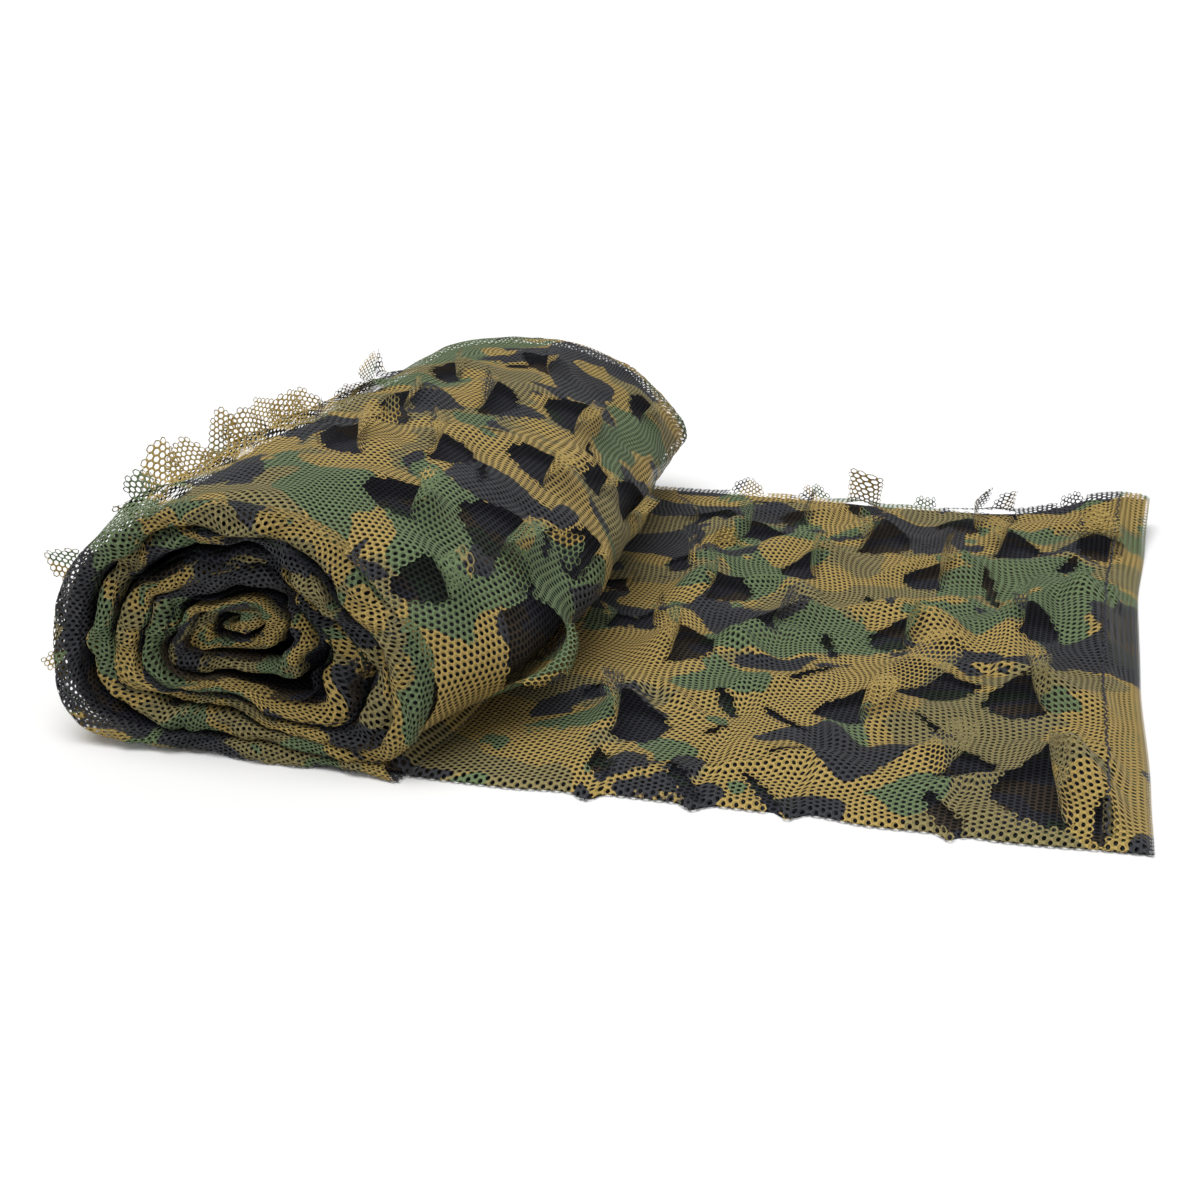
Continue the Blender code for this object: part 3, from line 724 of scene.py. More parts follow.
ROLL_LEAVES = tuple(Leaf(*row[:6], Cut.ROUND, *row[6:]) for row in (
    # length along the turn from its lower left edge, y, then as above
    (192, 315, 196, 18, 46, 130, 7.0, 0.6),
    (158, 268, 221, 28, 26, 120, 6.0, 0.6),
    (197, 218, 189, 19, 58, 155, 9.0),
    (220, 265, 8, 20, 62, 118, 7.0, 0.5),
    (273, 302, 185, 26, 64, 140, 9.0),
    (204, 121, 197, 24, 62, 128, 10.0),
    (228, 140, 13, 25, 50, 150, 8.0, 0.5),
    (281, 192, 192, 26, 46, 160, 7.0, 0.5),
    (168, 160, 199, 20, 46, 140, 7.0, 0.6),
    (255, 59, 206, 28, 30, 112, 8.0, 0.5),
    (294, 91, 186, 28, 48, 140, 9.0),
    (304, 236, 190, 15, 34, 140, 6.0, 0.5),
    (328, 266, 181, 17, 62, 118, 9.0, 0.5),
    (322, 146, 185, 18, 50, 240, 8.0, 0.6, 0.26),
    (338, 62, 203, 26, 50, 250, 8.0, 0.6),
    (292, 27, 260, 26, 24, 130, 5.0, 0.2),
    (140, 330, 180, 24, 22, 125, 4.0, 0.2),
    (228, 388, 200, 20, 40, 140, 6.0, 0.5),
    (300, 420, 185, 18, 40, 130, 6.0, 0.5),
)) + tuple(Leaf(*row) for row in (
    (303, 66, 92, 24, 20, 92),
    (197, 165, 80, 24, 13, 86),
    (309, 126, 80, 18, 22, 72),
    (138, 14, 62, 18, 30, 74),
    (133, 44, 112, 30, 28, 94, Cut.ROUND),
    (131, 74, 78, 25, 36, 80),
    (134, 112, 104, 33, 28, 90, Cut.ROUND),
    (131, 142, 70, 24, 38, 84),
    (127, 180, 100, 32, 26, 86, Cut.ROUND),
    (125, 208, 76, 22, 32, 78),
    (120, 244, 96, 20, 24, 84),
    (90, 14, 78, 19, 22, 96),
    (46, 10, 80, 20, 16, 96),
    (40, 58, 90, 30, 26, 120),
    (42, 150, 80, 32, 26, 135),
    (38, 242, 100, 30, 28, 120),
    (40, 340, 85, 32, 26, 130),
    (42, 430, 95, 30, 26, 125),
    (86, 100, 60, 32, 26, 130),
    (88, 196, 110, 30, 28, 125),
    (86, 296, 70, 32, 26, 120),
    (88, 390, 95, 30, 26, 130),
))

# Short cuts in the net that gape a little: x1, y1, x2, y2, width
LOOSE_END_SLITS = (
    (-171, 133, -152, 165, 5.5), (-200, 116, -187, 90, 6.5), (-176, 105, -152, 77, 5.5),
    (-161, 42, -147, 52, 5.0), (-196, 62, -188, 76, 5.0), (-202, 26, -183, -6, 7.5),
    (-169, 26, -147, -8, 6.5), (-235, 28, -227, 4, 9.0), (-165, 207, -154, 177, 5.5),
    (-92, 23, -75, -8, 8.5), (-106, 106, -86, 89, 5.0), (-91, 337, -82, 281, 7.0),
    (-154, 283, -144, 271, 5.5), (-52, 344, -42, 380, 8.0), (-104, 196, -94, 217, 8.0),
    (-21, 0, -20, 28, 7.0), (-128, 482, -96, 478, 7.0), (-254, 470, -226, 474, 7.0),
)
ROLL_SLITS = (
    (306, 106, 300, 138, 5.5), (322, 118, 318, 146, 5.0), (290, 260, 284, 286, 5.0),
    (232, 196, 246, 214, 4.5), (262, 120, 256, 148, 5.0), (206, 356, 222, 372, 5.0),
)


# ---- Print ----

class Dye(Enum):
    """The dyes of the print. The first three are its attribute's channels, and ochre is the ground."""

    NAVY = 0
    GREEN = 1
    OLIVE = 2
    OCHRE = 3


@dataclass(frozen=True)
class Print:
    """A woodland print: clouds of each dye over the ochre ground, gathered at some places.

    The gathering places are rough, and the clouds give every patch its outline.
    """

    seed: int
    gathered: Dict[Dye, Rows] = field(default_factory=dict)
    cloud_u: float = 40.0
    cloud_v: float = 33.0
    strength: float = 0.62
    rarity: Tuple[float, float, float] = (0.20, 0.16, 0.05)
    own_pull: float = 0.95
    other_pull: float = -0.75
    bend_u: Ripple = Ripple(14.0, 31.0, 27.0)
    bend_v: Ripple = Ripple(10.0, 27.0, 33.0, 500.0)

    def weights(self, u: Array, v: Array) -> Array:
        """Strength of each dye.

        Args:
            u: First flat coordinate.
            v: Second flat coordinate.

        Returns:
            One value from 0 to 1 for each dye over the ground, as the last axis. A dye shows above 0.5.
        """
        bend = Cloudiness(self.seed + 40)
        wu, wv = u + self.bend_u.read(bend, u, v), v + self.bend_v.read(bend, u, v)
        clouds = (Ripple(1.0, self.cloud_u, self.cloud_v),
                  Ripple(0.45, self.cloud_u / 2.3, self.cloud_v / 2.1, 900.0),
                  Ripple(0.2, self.cloud_u / 5.0, self.cloud_v / 4.0, 0.0, 700.0))
        found = []
        for number, rarity in enumerate(self.rarity):
            pattern = Cloudiness(self.seed + 7 * number)
            found.append(self.strength * sum(cloud.read(pattern, wu, wv) for cloud in clouds) - rarity)
        for dye, places in self.gathered.items():
            for place_u, place_v, long, broad, *heading in places:
                turn = math.radians(sum(heading))
                du, dv = wu - place_u, wv - place_v
                a = (du * math.cos(turn) + dv * math.sin(turn)) / long
                b = (dv * math.cos(turn) - du * math.sin(turn)) / broad
                near = np.exp(-(a * a + b * b))
                for number in range(len(found)):
                    found[number] = found[number] + near * (
                        self.own_pull if number == dye.value else self.other_pull)
        return np.clip(0.5 + 0.5 * np.stack(found, axis=-1), 0.0, 1.0)


LOOSE_END_PRINT = Print(seed=3, gathered={
    # x, y, half length, half width and heading, which is 0 where it isn't given
    Dye.NAVY: (
        (-290, 442, 34, 20), (-250, 436, 34, 22), (-128, 430, 20, 12), (-125, 44, 28, 20),
        (-126, 4, 24, 16), (-12, 225, 26, 40), (-8, 296, 16, 30), (-3, 10, 14, 26), (-81, 92, 10, 9),
        (-231, 14, 10, 12), (-262, 114, 12, 10), (-240, 230, 22, 20), (-300, 250, 20, 18), (-178, 0, 9, 8),
        (-330, 130, 20, 12),
    ),
    Dye.GREEN: (
        (-221, 384, 22, 18, 60), (-212, 300, 20, 26), (-198, 180, 26, 18, 40), (-202, 128, 28, 18, 20),
        (-156, 212, 26, 14, 20), (-108, 304, 28, 20, 20), (-94, 250, 26, 18), (-63, 358, 30, 14, 30),
        (-184, 80, 14, 10), (-215, 40, 18, 14, 20), (-99, 20, 20, 16), (-239, 10, 12, 12),
        (-246, 64, 12, 16), (-36, 320, 26, 26), (-36, 272, 24, 34), (-217, 500, 12, 10), (-169, 6, 10, 10),
        (-104, 360, 16, 14),
    ),
    Dye.OLIVE: (
        (-260, -2, 16, 14), (-300, 8, 30, 14), (-80, 118, 20, 20), (-62, 100, 20, 20), (-67, 60, 24, 20),
        (-70, 18, 24, 20), (-151, 278, 30, 16, 20), (-178, 270, 20, 16), (-280, 116, 20, 12),
        (-46, 44, 12, 20), (-42, 165, 28, 22), (-174, 346, 16, 24), (-24, 176, 20, 14), (-8, 350, 10, 22),
    ),
    Dye.OCHRE: (
        (-158, 108, 30, 20, 20), (-104, 148, 34, 26, 10), (-171, 140, 20, 10), (-176, 44, 22, 14),
        (-150, 34, 20, 18), (-66, 262, 14, 34), (-92, 222, 26, 12), (-36, 90, 24, 20), (-10, 150, 14, 40),
        (-9, 76, 12, 26), (-26, 30, 16, 20), (-35, 462, 30, 22), (-6, 480, 14, 34), (-262, 152, 40, 20, 10),
        (-290, 170, 20, 20), (-179, 436, 24, 34), (-142, 338, 26, 16, 10), (-275, 274, 20, 24),
        (-252, 362, 20, 18), (-84, 466, 22, 24), (-140, 172, 20, 12), (-310, 60, 36, 26),
    ),
})

ROLL_PRINT = Print(seed=5, gathered={
    # length along the turn, y, then as above
    Dye.NAVY: (
        (164, 50, 15, 36), (172, 140, 12, 16), (208, 416, 16, 30), (247, 376, 22, 34), (272, 384, 20, 28),
        (270, 128, 18, 26), (282, 46, 12, 16), (254, -4, 26, 12), (240, 470, 22, 26), (332, 310, 18, 26),
        (352, 150, 20, 30), (322, 46, 10, 12), (246, 14, 8, 9), (293, 158, 9, 14),
    ),
    Dye.GREEN: (
        (231, 30, 20, 24), (229, 6, 16, 12), (254, 88, 20, 26), (270, 30, 14, 16), (290, 16, 18, 14),
        (128, 429, 26, 30), (234, 203, 12, 22), (305, 34, 14, 14), (314, 14, 14, 12), (312, 84, 18, 26),
        (336, 62, 16, 20), (304, 329, 18, 26), (320, 394, 22, 30), (83, 75, 22, 24), (324, 140, 12, 20),
        (262, 44, 18, 16), (280, 40, 14, 14), (302, 117, 9, 12), (216, 46, 10, 14), (168, 371, 16, 22),
        (196, 300, 12, 14),
    ),
    Dye.OLIVE: (
        (201, 34, 8, 14), (187, -2, 14, 12), (150, 203, 16, 20), (279, -10, 14, 9), (183, 313, 18, 22),
        (213, 342, 16, 22), (330, 220, 14, 30),
    ),
    Dye.OCHRE: (
        (254, 177, 24, 26), (277, 262, 20, 34), (185, 245, 22, 20), (212, 255, 14, 22), (206, 72, 14, 22),
        (292, 106, 12, 10), (346, 12, 16, 16), (298, 190, 16, 16), (174, 196, 14, 16), (160, -8, 28, 10),
        (189, 405, 24, 22), (202, 126, 12, 30), (131, 150, 24, 30), (326, 170, 12, 16), (132, 64, 16, 30),
        (125, 215, 14, 32),
    ),
})
FOLD_PRINT = Print(seed=17, cloud_u=30.0, cloud_v=26.0)
BACKING_PRINT = Print(seed=29)


# ---- Meshes ----

def halves(corners: Sequence[Array], values: int = 1) -> Array:
    """Splits four-cornered faces in two triangles each.

    Args:
        corners: The four corners of the faces, in order, as point numbers or as laid-out places.
        values: Values of each corner: 1 for a point's number and 2 for a place.

    Returns:
        One triangle a row for numbers, and one corner a row for places.
    """
    rows = [corner.reshape(-1, values) for corner in corners]
    both = [np.stack([rows[corner] for corner in way], axis=1) for way in ((0, 1, 2), (0, 2, 3))]
    return np.concatenate(both).reshape(-1, 3 if values == 1 else values)


@dataclass
class Piece:
    """Points, faces and cloth coordinates of one piece before it becomes a mesh."""

    places: Array
    faces: Array
    flat: Array
    laid_out: Array
    dyes: Array
    by_corner: bool = False
    turn_out: bool = False

    def flat_area(self) -> float:
        """Area of the cloth laid flat, in square metres."""
        a, b, c = (self.flat[self.faces[:, corner]] for corner in range(3))
        cross = (b[:, 0] - a[:, 0]) * (c[:, 1] - a[:, 1]) - (b[:, 1] - a[:, 1]) * (c[:, 0] - a[:, 0])
        return float(np.abs(cross).sum() / 2 * MM * MM)

    def make(self, name: str, material: Material) -> Object:
        """Makes the piece's object.

        Args:
            name: Name of the object.
            material: Its finish.

        Returns:
            The object, at the origin.
        """
        mesh = bpy.data.meshes.new(name)
        corners = self.faces.reshape(-1).astype(np.int32)
        mesh.vertices.add(len(self.places))
        mesh.vertices.foreach_set("co", to_model(self.places).astype(np.float32).reshape(-1))
        mesh.loops.add(len(corners))
        mesh.loops.foreach_set("vertex_index", corners)
        mesh.polygons.add(len(self.faces))
        mesh.polygons.foreach_set("loop_start", np.arange(0, len(corners), 3, dtype=np.int32))
        mesh.update(calc_edges=True)
        layer = mesh.uv_layers.new(name="OFBake")
        laid = self.laid_out if self.by_corner else self.laid_out[corners]
        layer.data.foreach_set("uv", laid.astype(np.float32).reshape(-1))
        flat = np.column_stack([self.flat * MM, np.zeros(len(self.flat))])
        for words, values in (("flat", flat), ("dyes", self.dyes)):
            attribute = mesh.attributes.new(words, "FLOAT_VECTOR", "POINT")
            attribute.data.foreach_set("vector", values.astype(np.float32).reshape(-1))
        if self.turn_out:
            shape = bmesh.new()
            shape.from_mesh(mesh)
            bmesh.ops.recalc_face_normals(shape, faces=shape.faces[:])
            shape.to_mesh(mesh)
            shape.free()
        mesh.shade_smooth()
        mesh.materials.append(material)
        made = bpy.data.objects.new(name, mesh)
        bpy.context.scene.collection.objects.link(made)
        return made


@dataclass
class Lattice:
    """A stretch of net, knitted with hexagonal cells in columns along its second coordinate.

    The stretch is width by length on the knit's own even grid. flat_place turns the grid into the cloth's
    flat coordinates, in which leaves and slits are given, and surface lays those in the room.
    """

    width: float
    length: float
    surface: FlatMap
    flat_place: Optional[Callable[[Array, Array], Arrays]] = None
    leaves: Sequence[Leaf] = ()
    slits: Rows = ()
    pattern: Print = FOLD_PRINT
    cell: Pair = CELL
    hole: float = 0.56
    leaf_hole: float = 0.70
    root_reach: float = 0.45
    laid_margins: Pair = (1.02, 0.005)

    CORNERS = np.array([(1, 0), (0.5, 1), (-0.5, 1), (-1, 0), (-0.5, -1), (0.5, -1)], float)
    OUT = -1

    def centres(self) -> Tuple[Array, Array, float, float]:
        """Cell centres on the grid.

        Returns:
            Both coordinates for each column and row, then the width and length of a cell.
        """
        columns, rows = (max(2, round(size / cell))
                         for size, cell in zip((self.width, self.length), self.cell))
        step_u, step_v = self.width / columns, self.length / rows
        column, row = np.meshgrid(np.arange(-1, columns + 1), np.arange(-1, rows + 1), indexing="ij")
        return (column + 0.5) * step_u, (row + 0.5 + 0.5 * (column % 2)) * step_v, step_u, step_v

    def to_flat(self, a: Array, b: Array) -> Arrays:
        """Grid coordinates to the cloth's flat ones."""
        return (a, b) if self.flat_place is None else self.flat_place(a, b)

    def regions(self, a: Array, b: Array) -> Array:
        """Which part of the cloth each cell belongs to.

        Args:
            a: First grid coordinate of each centre.
            b: Second one.

        Returns:
            0 for the cloth, 1 and up for a leaf, and OUT for no cell.
        """
        found = np.zeros(a.shape, int)
        u, v = self.to_flat(a, b)
        for number, leaf in enumerate(self.leaves, 1):
            found[leaf.holds(u, v)] = number
        for u1, v1, u2, v2, gape in self.slits:
            du, dv = u2 - u1, v2 - v1
            share = ((u - u1) * du + (v - v1) * dv) / (du * du + dv * dv)
            away = np.hypot(u - u1 - du * share, v - v1 - dv * share)
            half = gape / 2 * np.sqrt(np.clip(1.0 - (2.0 * share - 1.0) ** 2, 0.0, 1.0))
            found[(share > 0.0) & (share < 1.0) & (away < half) & (found == 0)] = self.OUT
        found[(a < 0.0) | (a > self.width) | (b < 0.0) | (b > self.length)] = self.OUT
        return found

    def linked(self, one: Array, other: Array, mid_u: Array, mid_v: Array) -> Array:
        """Whether the knit runs on between cells.

        Args:
            one: Regions of the cells on one side.
            other: Regions of those on the other side.
            mid_u: First flat coordinate of the places between them.
            mid_v: Second one.

        Returns:
            True where a ribbon joins the two cells: inside one region, or over a leaf's root.
        """
        both = (one >= 0) & (other >= 0)
        found = both & (one == other)
        crossing = both & (one != other) & (np.minimum(one, other) == 0)
        for number, leaf in enumerate(self.leaves, 1):
            here = crossing & (np.maximum(one, other) == number)
            across, along = leaf.own(mid_u, mid_v)
            broad = leaf.cut.value[0][1] / 2 * leaf.width
            root = (along < self.root_reach * self.cell[1]) & (np.abs(across) < broad)
            found |= here & root
        return found

    def place(self, a: Array, b: Array, region: Array) -> Array:
        """Lays grid places in the room.

        Args:
            a: First grid coordinates.
            b: Second grid coordinates.
            region: Region of the cell that each belongs to.

        Returns:
            x, y and z of each place.
        """
        u, v = self.to_flat(a, b)
        places = self.surface(u, v)
        for number, leaf in enumerate(self.leaves, 1):
            mine = region == number
            if mine.any():
                places[mine] = leaf.curled(self.surface, u[mine], v[mine], number)
        return places

    def build(self) -> Piece:
        """Knits the lattice.

        Returns:
            The piece: three ribbons and two joints for each cell, and a rim along every cut.
        """
        a, b, step_u, step_v = self.centres()
        region = self.regions(a, b)
        corner = self.CORNERS * np.array([step_u / 1.5, step_v / 2.0])
        count = a.size
        numbers = np.arange(count).reshape(a.shape)
        even = (np.arange(a.shape[0]) % 2 == 1)[:, None]  # columns 0, 2, ... after the extra one

        def neighbour(kind: str, values: Array) -> Array:
            """Values of the cells on one side.

            Args:
                kind: The side: up, right_up or right_down.
                values: One value for each cell.

            Returns:
                The neighbour's value for each cell.
            """
            if kind == "up":
                return np.roll(values, -1, axis=1)
            right = np.roll(values, -1, axis=0)
            if kind == "right_up":
                return np.where(even, right, np.roll(right, -1, axis=1))
            return np.where(even, np.roll(right, 1, axis=1), right)

        def inner(cells: Array, which: int) -> Array:
            """Numbers of the points round the cells' holes."""
            return cells * 6 + which

        def rim(cells: Array, which: int) -> Array:
            """Numbers of the points between the cells."""
            return 6 * count + cells * 6 + which

        sides = {
            # neighbour: the cell's two corners there, and the neighbour's
            "right_up": ((0, 1), (4, 3)),
            "up": ((1, 2), (5, 4)),
            "right_down": ((5, 0), (3, 2)),
        }
        quads: List[Array] = []
        triangles: List[Array] = []
        link: Dict[str, Array] = {}
        for kind, (mine, theirs) in sides.items():
            other, other_region = neighbour(kind, numbers), neighbour(kind, region)
            mid = corner[list(mine)].mean(axis=0)
            mid_u, mid_v = self.to_flat(a + mid[0], b + mid[1])
            link[kind] = self.linked(region, other_region, mid_u, mid_v)
            use = link[kind]
            quads.append(np.stack([inner(numbers, mine[0])[use], inner(other, theirs[0])[use],
                                   inner(other, theirs[1])[use], inner(numbers, mine[1])[use]], axis=-1))
            for cells, cell_region, (first, second) in ((numbers, region, mine),
                                                        (other, other_region, theirs[::-1])):
                cut = (cell_region >= 0) & ~use
                quads.append(np.stack([inner(cells, first)[cut], rim(cells, first)[cut],
                                       rim(cells, second)[cut], inner(cells, second)[cut]], axis=-1))
        ru, up, rd = (neighbour(kind, numbers) for kind in ("right_up", "up", "right_down"))
        for first, second, third, one, two, three in (
                (inner(numbers, 0), inner(rd, 2), inner(ru, 4),
                 link["right_down"], link["right_up"], neighbour("right_down", link["up"])),
                (inner(numbers, 1), inner(ru, 3), inner(up, 5),
                 link["right_up"], link["up"], neighbour("up", link["right_down"]))):
            use = one & two & three
            triangles.append(np.stack([first[use], second[use], third[use]], axis=-1))
        faces = np.vstack(triangles + [halves(quad.T) for quad in quads])
        holes = np.where(region > 0, self.leaf_hole, self.hole)
        scale = np.concatenate([np.repeat(holes.reshape(-1), 6), np.ones(6 * count)])
        grid_a = np.tile((a.reshape(-1, 1) + 0 * corner[:, 0]).reshape(-1), 2)
        grid_b = np.tile((b.reshape(-1, 1) + 0 * corner[:, 1]).reshape(-1), 2)
        grid_a = np.clip(grid_a + np.tile(corner[:, 0], 2 * count) * scale, 0.0, self.width)
        grid_b = np.clip(grid_b + np.tile(corner[:, 1], 2 * count) * scale, 0.0, self.length)
        regions = np.tile(np.repeat(region.reshape(-1), 6), 2)
        used, faces = np.unique(faces, return_inverse=True)
        faces = faces.reshape(-1, 3)
        grid_a, grid_b, regions = grid_a[used], grid_b[used], regions[used]
        u, v = self.to_flat(grid_a, grid_b)
        longer, before = self.laid_margins
        flat = np.column_stack([grid_a, grid_b])
        laid = flat / (longer * max(self.width, self.length)) + before
        return Piece(self.place(grid_a, grid_b, regions), faces, flat, laid, self.pattern.weights(u, v))


# ---- Finishes ----

class Term:
    """A number socket that takes part in written sums."""

    def __init__(self, bench: "Bench", socket: Socket) -> None:
        """Wraps a socket of a bench's tree."""
        self.bench = bench
        self.socket = socket

    def __add__(self, other: Number) -> "Term":
        """This plus another."""
        return self.bench.math("ADD", self, other)

    def __radd__(self, other: Number) -> "Term":
        """Another plus this."""
        return self.bench.math("ADD", other, self)

    def __sub__(self, other: Number) -> "Term":
        """This less another."""
        return self.bench.math("SUBTRACT", self, other)

    def __rsub__(self, other: Number) -> "Term":
        """Another less this."""
        return self.bench.math("SUBTRACT", other, self)

    def __mul__(self, other: Number) -> "Term":
        """This times another."""
        return self.bench.math("MULTIPLY", self, other)

    def __rmul__(self, other: Number) -> "Term":
        """Another times this."""
        return self.bench.math("MULTIPLY", other, self)


class Bench:
    """The node tree of one finish."""

    def __init__(self, name: str) -> None:
        """Makes a material with an empty tree.

        Args:
            name: The material's name.
        """
        self.material = bpy.data.materials.new(name)
        self.material.use_nodes = True
        self.tree = self.material.node_tree
        self.tree.nodes.clear()

    def node(self, kind: str, settings: Settings, sockets: Sockets) -> bpy.types.Node:
        """Adds a node.

        Args:
            kind: The node's type.
            settings: Its settings, which are set first.
            sockets: Values or links of its sockets, by name or number.

        Returns:
            The node.
        """
        made = self.tree.nodes.new(kind)
        for name, value in settings.items():
            setattr(made, name, value)
        for name, value in sockets.items():
            if isinstance(value, Term):
                value = value.socket
            if isinstance(value, Socket):
                self.tree.links.new(value, made.inputs[name])
            else:
                made.inputs[name].default_value = value
        return made

    def math(self, operation: str, *values: Number) -> Term:
        """A Math node's result."""
        made = self.node("ShaderNodeMath", {"operation": operation}, dict(enumerate(values)))
        return Term(self, made.outputs[0])

    def eased(self, value: Number, low: float, high: float) -> Term:
        """A value eased from 0 at low to 1 at high."""
        made = self.node("ShaderNodeMapRange", {"interpolation_type": "SMOOTHSTEP"},
                         {"Value": value, "From Min": low, "From Max": high})
        return Term(self, made.outputs[0])

    def mixed(self, share: Number, first: object, second: object) -> Socket:
        """A colour between two colours."""
        sockets = {0: share, 6: self.whole(first), 7: self.whole(second)}
        return self.node("ShaderNodeMix", {"data_type": "RGBA"}, sockets).outputs[2]

    def scaled(self, colour: object, factor: Number) -> Socket:
        """A colour times a number."""
        made = self.node("ShaderNodeVectorMath", {"operation": "SCALE"}, {0: colour, "Scale": factor})
        return made.outputs[0]

    @staticmethod
    def whole(colour: object) -> object:
        """A colour with its fourth value, or a link as it is."""
        return (*colour, 1.0) if isinstance(colour, tuple) else colour

    def attribute(self, name: str) -> Socket:
        """A mesh attribute as a vector."""
        return self.node("ShaderNodeAttribute", {"attribute_name": name}, {}).outputs["Vector"]

    def parts(self, vector: Socket) -> Tuple[Term, Term, Term]:
        """The three values of a vector."""
        made = self.node("ShaderNodeSeparateXYZ", {}, {0: vector})
        return tuple(Term(self, socket) for socket in made.outputs)

    def noise(self, vector: Socket, scale: float, detail: float, rough: float = 0.5) -> Term:
        """Noise from 0 to 1."""
        made = self.node("ShaderNodeTexNoise", {"noise_dimensions": "3D"},
                         {"Vector": vector, "Scale": scale, "Detail": detail, "Roughness": rough})
        return Term(self, made.outputs[0])

    def knit(self, flat: Socket) -> Term:
        """The cells of the knit.

        Args:
            flat: Flat places, in metres.

        Returns:
            3 in the middle of a cell, -1 on the ribbons and -1.5 on the joints.
        """
        along_u, along_v = ((place - size * MM / 2) * (2 * math.pi / (size * MM))
                            for place, size in zip(self.parts(flat), CELL))
        rows = (along_v - along_u * 0.5, along_v + along_u * 0.5)
        return sum((self.math("COSINE", row) for row in rows), self.math("COSINE", along_u))

    def bumped(self, height: Term, strength: float, relief: float) -> Socket:
        """The surface's direction once a height raises it."""
        made = self.node("ShaderNodeBump", {}, {"Strength": strength, "Distance": relief, "Height": height})
        return made.outputs[0]

    def finish(self, sockets: Sockets) -> Material:
        """Ends the tree with a shader.

        Args:
            sockets: Values or links of the shader's sockets.

        Returns:
            The material.
        """
        shader = self.node("ShaderNodeBsdfPrincipled", {}, sockets)
        self.node("ShaderNodeOutputMaterial", {}, {"Surface": shader.outputs[0]})
        return self.material


@dataclass(frozen=True)
class PrintedNet:
    """Finish of the printed leaf-cut net."""

    name: str = "printed_net"
    # painted shade: a depth below 1 darkens the whole colour, for copies that stand for cloth in the shade of
    # the folds or turned under
    depth: float = 1.0
    ochre: Colour = (0.352, 0.250, 0.076)
    olive: Colour = (0.215, 0.180, 0.076)
    green: Colour = (0.118, 0.164, 0.078)
    navy: Colour = (0.032, 0.033, 0.038)
    roughness: float = 0.78
    sheen: float = 0.04
    shine: float = 0.2
    relief: float = 0.5 * MM
    ragged: Pair = (210.0, 0.16)  # scale and reach of the patches' ragged outline
    uneven: Pair = (55.0, 0.22)  # scale and depth of the dye's unevenness
    yarn: Pair = (1900.0, 0.16)  # scale and depth of its fibres
    edge: Pair = (0.49, 0.51)
    crest: Pair = (0.4, -1.3)
    shade: Pair = (0.62, 0.34)  # painted shade in the joints' hollows, and the painted highlight that the crests have more

    def make(self) -> Material:
        """Makes the material.

        Returns:
            The woodland print on knitted ribbons, with uneven dye, rounded yarns, painted highlight on the
            yarns' crests and painted shade in their joints.
        """
        bench = Bench(self.name)
        flat = bench.attribute("flat")
        navy, green, olive = bench.parts(bench.attribute("dyes"))
        ragged = (bench.noise(flat, self.ragged[0], 3.0, 0.6) - 0.5) * self.ragged[1]
        masks = [bench.eased(dye + ragged, *self.edge) for dye in (olive, green, navy)]
        colour: object = self.ochre
        for mask, dye in zip(masks, (self.olive, self.green, self.navy)):
            colour = bench.mixed(mask, colour, dye)
        crest = bench.eased(bench.knit(flat), *self.crest)
        fibres = bench.noise(flat, self.yarn[0], 2.0, 0.7)
        uneven = bench.noise(flat, self.uneven[0], 2.0) * self.uneven[1]
        # painted highlight and shade: the crests lighter and the joints darker, together with the dye's
        # unevenness and fibres
        shade = self.shade[0] + crest * self.shade[1] + uneven + fibres * self.yarn[1]
        # depth scales the colour down as painted shade in the darker copies
        return bench.finish({
            "Base Color": bench.scaled(colour, shade * self.depth),
            "Roughness": self.roughness + (fibres - 0.5) * 0.1 - masks[2] * 0.08,
            "Sheen Weight": self.sheen, "Sheen Roughness": 0.5, "Specular IOR Level": self.shine,
            "Normal": bench.bumped(crest + fibres * 0.25, 0.9, self.relief)})


@dataclass(frozen=True)
class DarkNet:
    """Finish of the backing net: dark dyes on a closer knit. Its cells can be painted near black, a painted
    shadow for the dark that shows through them.
    """

    name: str = "backing_net"
    navy: Colour = (0.026, 0.027, 0.036)
    brown: Colour = (0.046, 0.034, 0.023)
    green: Colour = (0.026, 0.038, 0.025)
    cell_painted_shadow: Colour = (0.004, 0.004, 0.005)
    shine: float = 0.15
    relief: float = 0.9 * MM
    ragged: Pair = (160.0, 0.2)  # scale and reach of the patches' ragged outline
    yarn: Pair = (1700.0, 0.6)  # scale and depth of its fibres
    brown_edge: Pair = (0.5, 0.54)
    green_edge: Pair = (0.55, 0.6)
    ribbon: Pair = (0.5, -0.6)
    shade: float = 0.7
    paints_cell_shadow: bool = True

    def make(self) -> Material:
        """Makes the material.

        Returns:
            The dark net.
        """
        bench = Bench(self.name)
        flat = bench.attribute("flat")
        green, brown, _ = bench.parts(bench.attribute("dyes"))
        ragged = (bench.noise(flat, self.ragged[0], 3.0, 0.6) - 0.5) * self.ragged[1]
        colour = bench.mixed(bench.eased(brown + ragged, *self.brown_edge), self.navy, self.brown)
        colour = bench.mixed(bench.eased(green + ragged, *self.green_edge), colour, self.green)
        ribbon = bench.eased(bench.knit(flat), *self.ribbon)
        fibres = bench.noise(flat, self.yarn[0], 2.0, 0.7)
        colour = bench.scaled(colour, self.shade + fibres * self.yarn[1])
        # painted shadow: the cells between the ribbons are painted near black
        if self.paints_cell_shadow:
            colour = bench.mixed(ribbon, self.cell_painted_shadow, colour)
        return bench.finish({
            "Base Color": colour, "Roughness": 0.85 - ribbon * 0.1, "Specular IOR Level": self.shine,
            "Normal": bench.bumped(ribbon + fibres * 0.2, 1.0, self.relief)})


